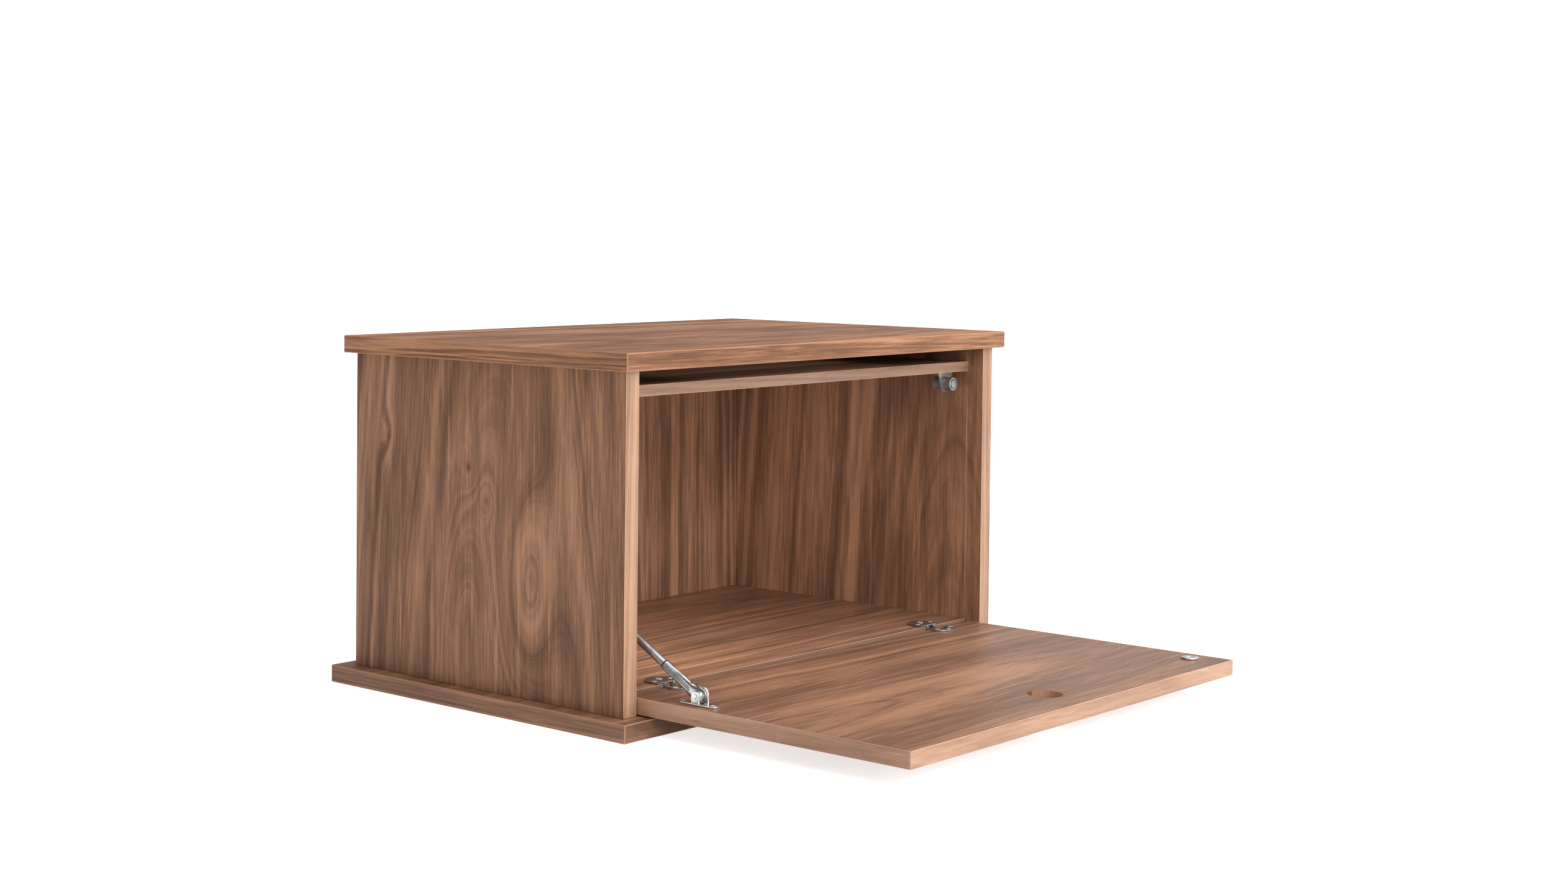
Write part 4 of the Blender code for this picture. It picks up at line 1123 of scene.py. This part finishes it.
@dataclass
class Screws:
    """Countersunk screws with cross recesses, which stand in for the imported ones."""

    shop: Workshop

    def build(self) -> None:
        """Place the screws of both bodies."""
        on_flap = ("hinge_*_flap", "stay_bracket_*", "striker_screw")
        self.stand_in("flap_screws", "flap", on_flap, "nickel_plated")
        self.stand_in("cabinet_screws", "cabinet", ("hinge_*_floor", "stay_side_screw*"), "nickel_plated")
        self.stand_in(
            "catch_screws", "cabinet", ("catch_screw_*",), "zinc_plated", Head_Radius=2.4 * MM,
            Shank_Radius=1.1 * MM, Head_Depth=1.2 * MM, Length=8.5 * MM, Recess_Span=2.8 * MM,
        )

    def stand_in(
        self, name: str, body: str, patterns: tuple[str, ...], slot: str, **sizes: float
    ) -> None:
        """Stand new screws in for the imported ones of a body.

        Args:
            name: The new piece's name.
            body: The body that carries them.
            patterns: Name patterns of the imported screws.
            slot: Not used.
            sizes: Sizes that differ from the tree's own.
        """
        found = sorted(item for item in self.shop.nodes if "screw" in item and self.fits(item, patterns))
        seats = [self.seat(item) for item in found]
        piece = self.shop.screws.place(name, seats, self.shop.finish(SCREW_STEEL), **sizes)
        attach(piece, body)
        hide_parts(*found)
        LOG.info("placed %d screws as %s", len(found), name)

    @staticmethod
    def fits(name: str, patterns: tuple[str, ...]) -> bool:
        """Whether a name starts and ends as one of the patterns does."""
        pairs = [pattern.split("*") + [""] for pattern in patterns]
        return any(name.startswith(pair[0]) and name.endswith(pair[1]) for pair in pairs)

    def seat(self, name: str) -> tuple[Place, Place]:
        """Find a packed screw's head face.

        Args:
            name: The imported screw's name.

        Returns:
            The middle of the face and the way it looks.
        """
        low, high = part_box(name)
        middle = (low + high) / 2
        if name.startswith("catch_"):
            return (middle.x, middle.y, low.z), (0.0, 0.0, -1.0)
        if name.startswith("stay_side"):
            return (high.x, middle.y, middle.z), (1.0, 0.0, 0.0)
        return (middle.x, middle.y, high.z), (0.0, 0.0, 1.0)


@dataclass
class Studio:
    """A pale floor, soft light and the camera."""

    floor_size: float = 16.0
    place: Place = (-1.91036, -1.63976, 0.49224)
    heading: float = math.radians(-47.85)
    pitch: float = math.radians(-1.97)
    roll: float = math.radians(0.51)
    lens: float = 53.39
    shift: tuple[float, float] = (0.1002, -0.0945)
    glow: float = 0.30
    glow_seen: float = 0.40
    bright_way: Place = (0.40, -0.90, 0.15)
    sides: tuple[float, float] = (0.20, 1.4)

    def build(self) -> None:
        """Build the studio."""
        self.add_floor()
        self.add_world()
        self.add_lamp("key", (1.6, -2.6, 2.3), (0.0, -0.1, 0.15), 2.4, 42.0)
        self.add_lamp("over", (0.2, -0.3, 3.0), (0.0, 0.0, 0.2), 2.6, 48.0)
        self.add_lamp("inside", (-0.24, -0.08, 0.22), (0.29, 0.02, 0.13), 0.09, 0.75, hidden=True)
        self.add_lamp("slot", (0.0, -0.01, 0.3440), (0.0, -0.01, 0.30), 0.33, 0.10, hidden=True)
        self.add_lamp("front", (-0.45, -1.75, 0.75), (0.1, 0.0, 0.15), 0.9, 12.0)
        self.add_camera()

    def add_floor(self) -> None:
        """Lay the pale floor."""
        mesh = bpy.data.meshes.new("studio_floor")
        half = self.floor_size / 2
        corners = [(-half, -half, 0.0), (half, -half, 0.0), (half, half, 0.0), (-half, half, 0.0)]
        mesh.from_pydata(corners, [], [(0, 1, 2, 3)])
        floor = bpy.data.objects.new("studio_floor", mesh)
        bpy.context.scene.collection.objects.link(floor)
        material, pen, shader = fresh_material("studio_floor")
        shader.inputs["Base Color"].default_value = (0.90, 0.90, 0.90, 1.0)
        shader.inputs["Emission Color"].default_value = (1.0, 1.0, 1.0, 1.0)
        seen = pen.add("ShaderNodeLightPath").outputs["Is Camera Ray"]
        glow = pen.math("MULTIPLY_ADD", seen, self.glow_seen, self.glow)
        pen.feed(shader.inputs["Emission Strength"], glow)
        shader.inputs["Roughness"].default_value = 0.9
        shader.inputs["Specular IOR Level"].default_value = 0.1
        mesh.materials.append(material)

    def add_world(self) -> None:
        """Light the scene from all round, most from the front, against a white backdrop."""
        world = bpy.data.worlds.new("studio")
        world.use_nodes = True
        pen = NodePen(world.node_tree)
        places = pen.add("ShaderNodeTexCoord")
        facing = pen.add("ShaderNodeVectorMath", operation="DOT_PRODUCT")
        pen.feed(facing.inputs[0], places.outputs["Generated"])
        facing.inputs[1].default_value = self.bright_way
        soft = pen.remap(facing.outputs["Value"], -0.7, 0.9, *self.sides)
        rays = pen.add("ShaderNodeLightPath")
        seen = rays.outputs["Is Camera Ray"]
        strength = pen.math("ADD", pen.math("MULTIPLY", soft, pen.math("SUBTRACT", 1.0, seen)), seen)
        back = world.node_tree.nodes["Background"]
        back.inputs["Color"].default_value = (1.0, 1.0, 1.0, 1.0)
        pen.feed(back.inputs["Strength"], strength)
        bpy.context.scene.world = world
        bpy.context.scene.view_settings.view_transform = "Standard"

    def add_lamp(
        self, name: str, place: Place, target: Place, size: float, power: float, hidden: bool = False
    ) -> None:
        """Hang a square soft light.

        Args:
            name: The light's name.
            place: Where it hangs.
            target: What it faces.
            size: Its side.
            power: Its power in watts.
            hidden: Whether metal doesn't mirror it.
        """
        lamp = bpy.data.lights.new(name, "AREA")
        lamp.shape = "SQUARE"
        lamp.size = size
        lamp.energy = power
        item = bpy.data.objects.new(name, lamp)
        item.location = place
        way = Vector(target) - Vector(place)
        item.rotation_euler = way.to_track_quat("-Z", "Y").to_euler()
        item.visible_camera = False
        item.visible_glossy = not hidden
        bpy.context.scene.collection.objects.link(item)

    def add_camera(self) -> None:
        """Set up the camera."""
        lens = bpy.data.cameras.new("camera")
        lens.sensor_fit = "HORIZONTAL"
        lens.sensor_width = 36.0
        lens.lens = self.lens
        lens.shift_x, lens.shift_y = self.shift
        lens.clip_end = 60.0
        camera = bpy.data.objects.new("camera", lens)
        upright = Euler((math.radians(90.0) + self.pitch, 0.0, self.heading)).to_matrix().to_4x4()
        turn = Matrix.Rotation(self.roll, 4, "Z")
        camera.matrix_world = Matrix.Translation(self.place) @ upright @ turn
        bpy.context.scene.collection.objects.link(camera)
        bpy.context.scene.camera = camera


def main() -> None:
    """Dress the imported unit, add the fittings and set up the studio."""
    logging.basicConfig(level=logging.INFO, format="%(name)s: %(message)s")
    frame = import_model()
    shop = Workshop(frame["nodes"])
    Cabinet(shop).build()
    for hand in ("left", "right"):
        FlapHinge(shop, hand).build()
    Stay(shop).build()
    Catch(shop).build()
    Screws(shop).build()
    Studio().build()


if __name__ == "__main__":
    main()
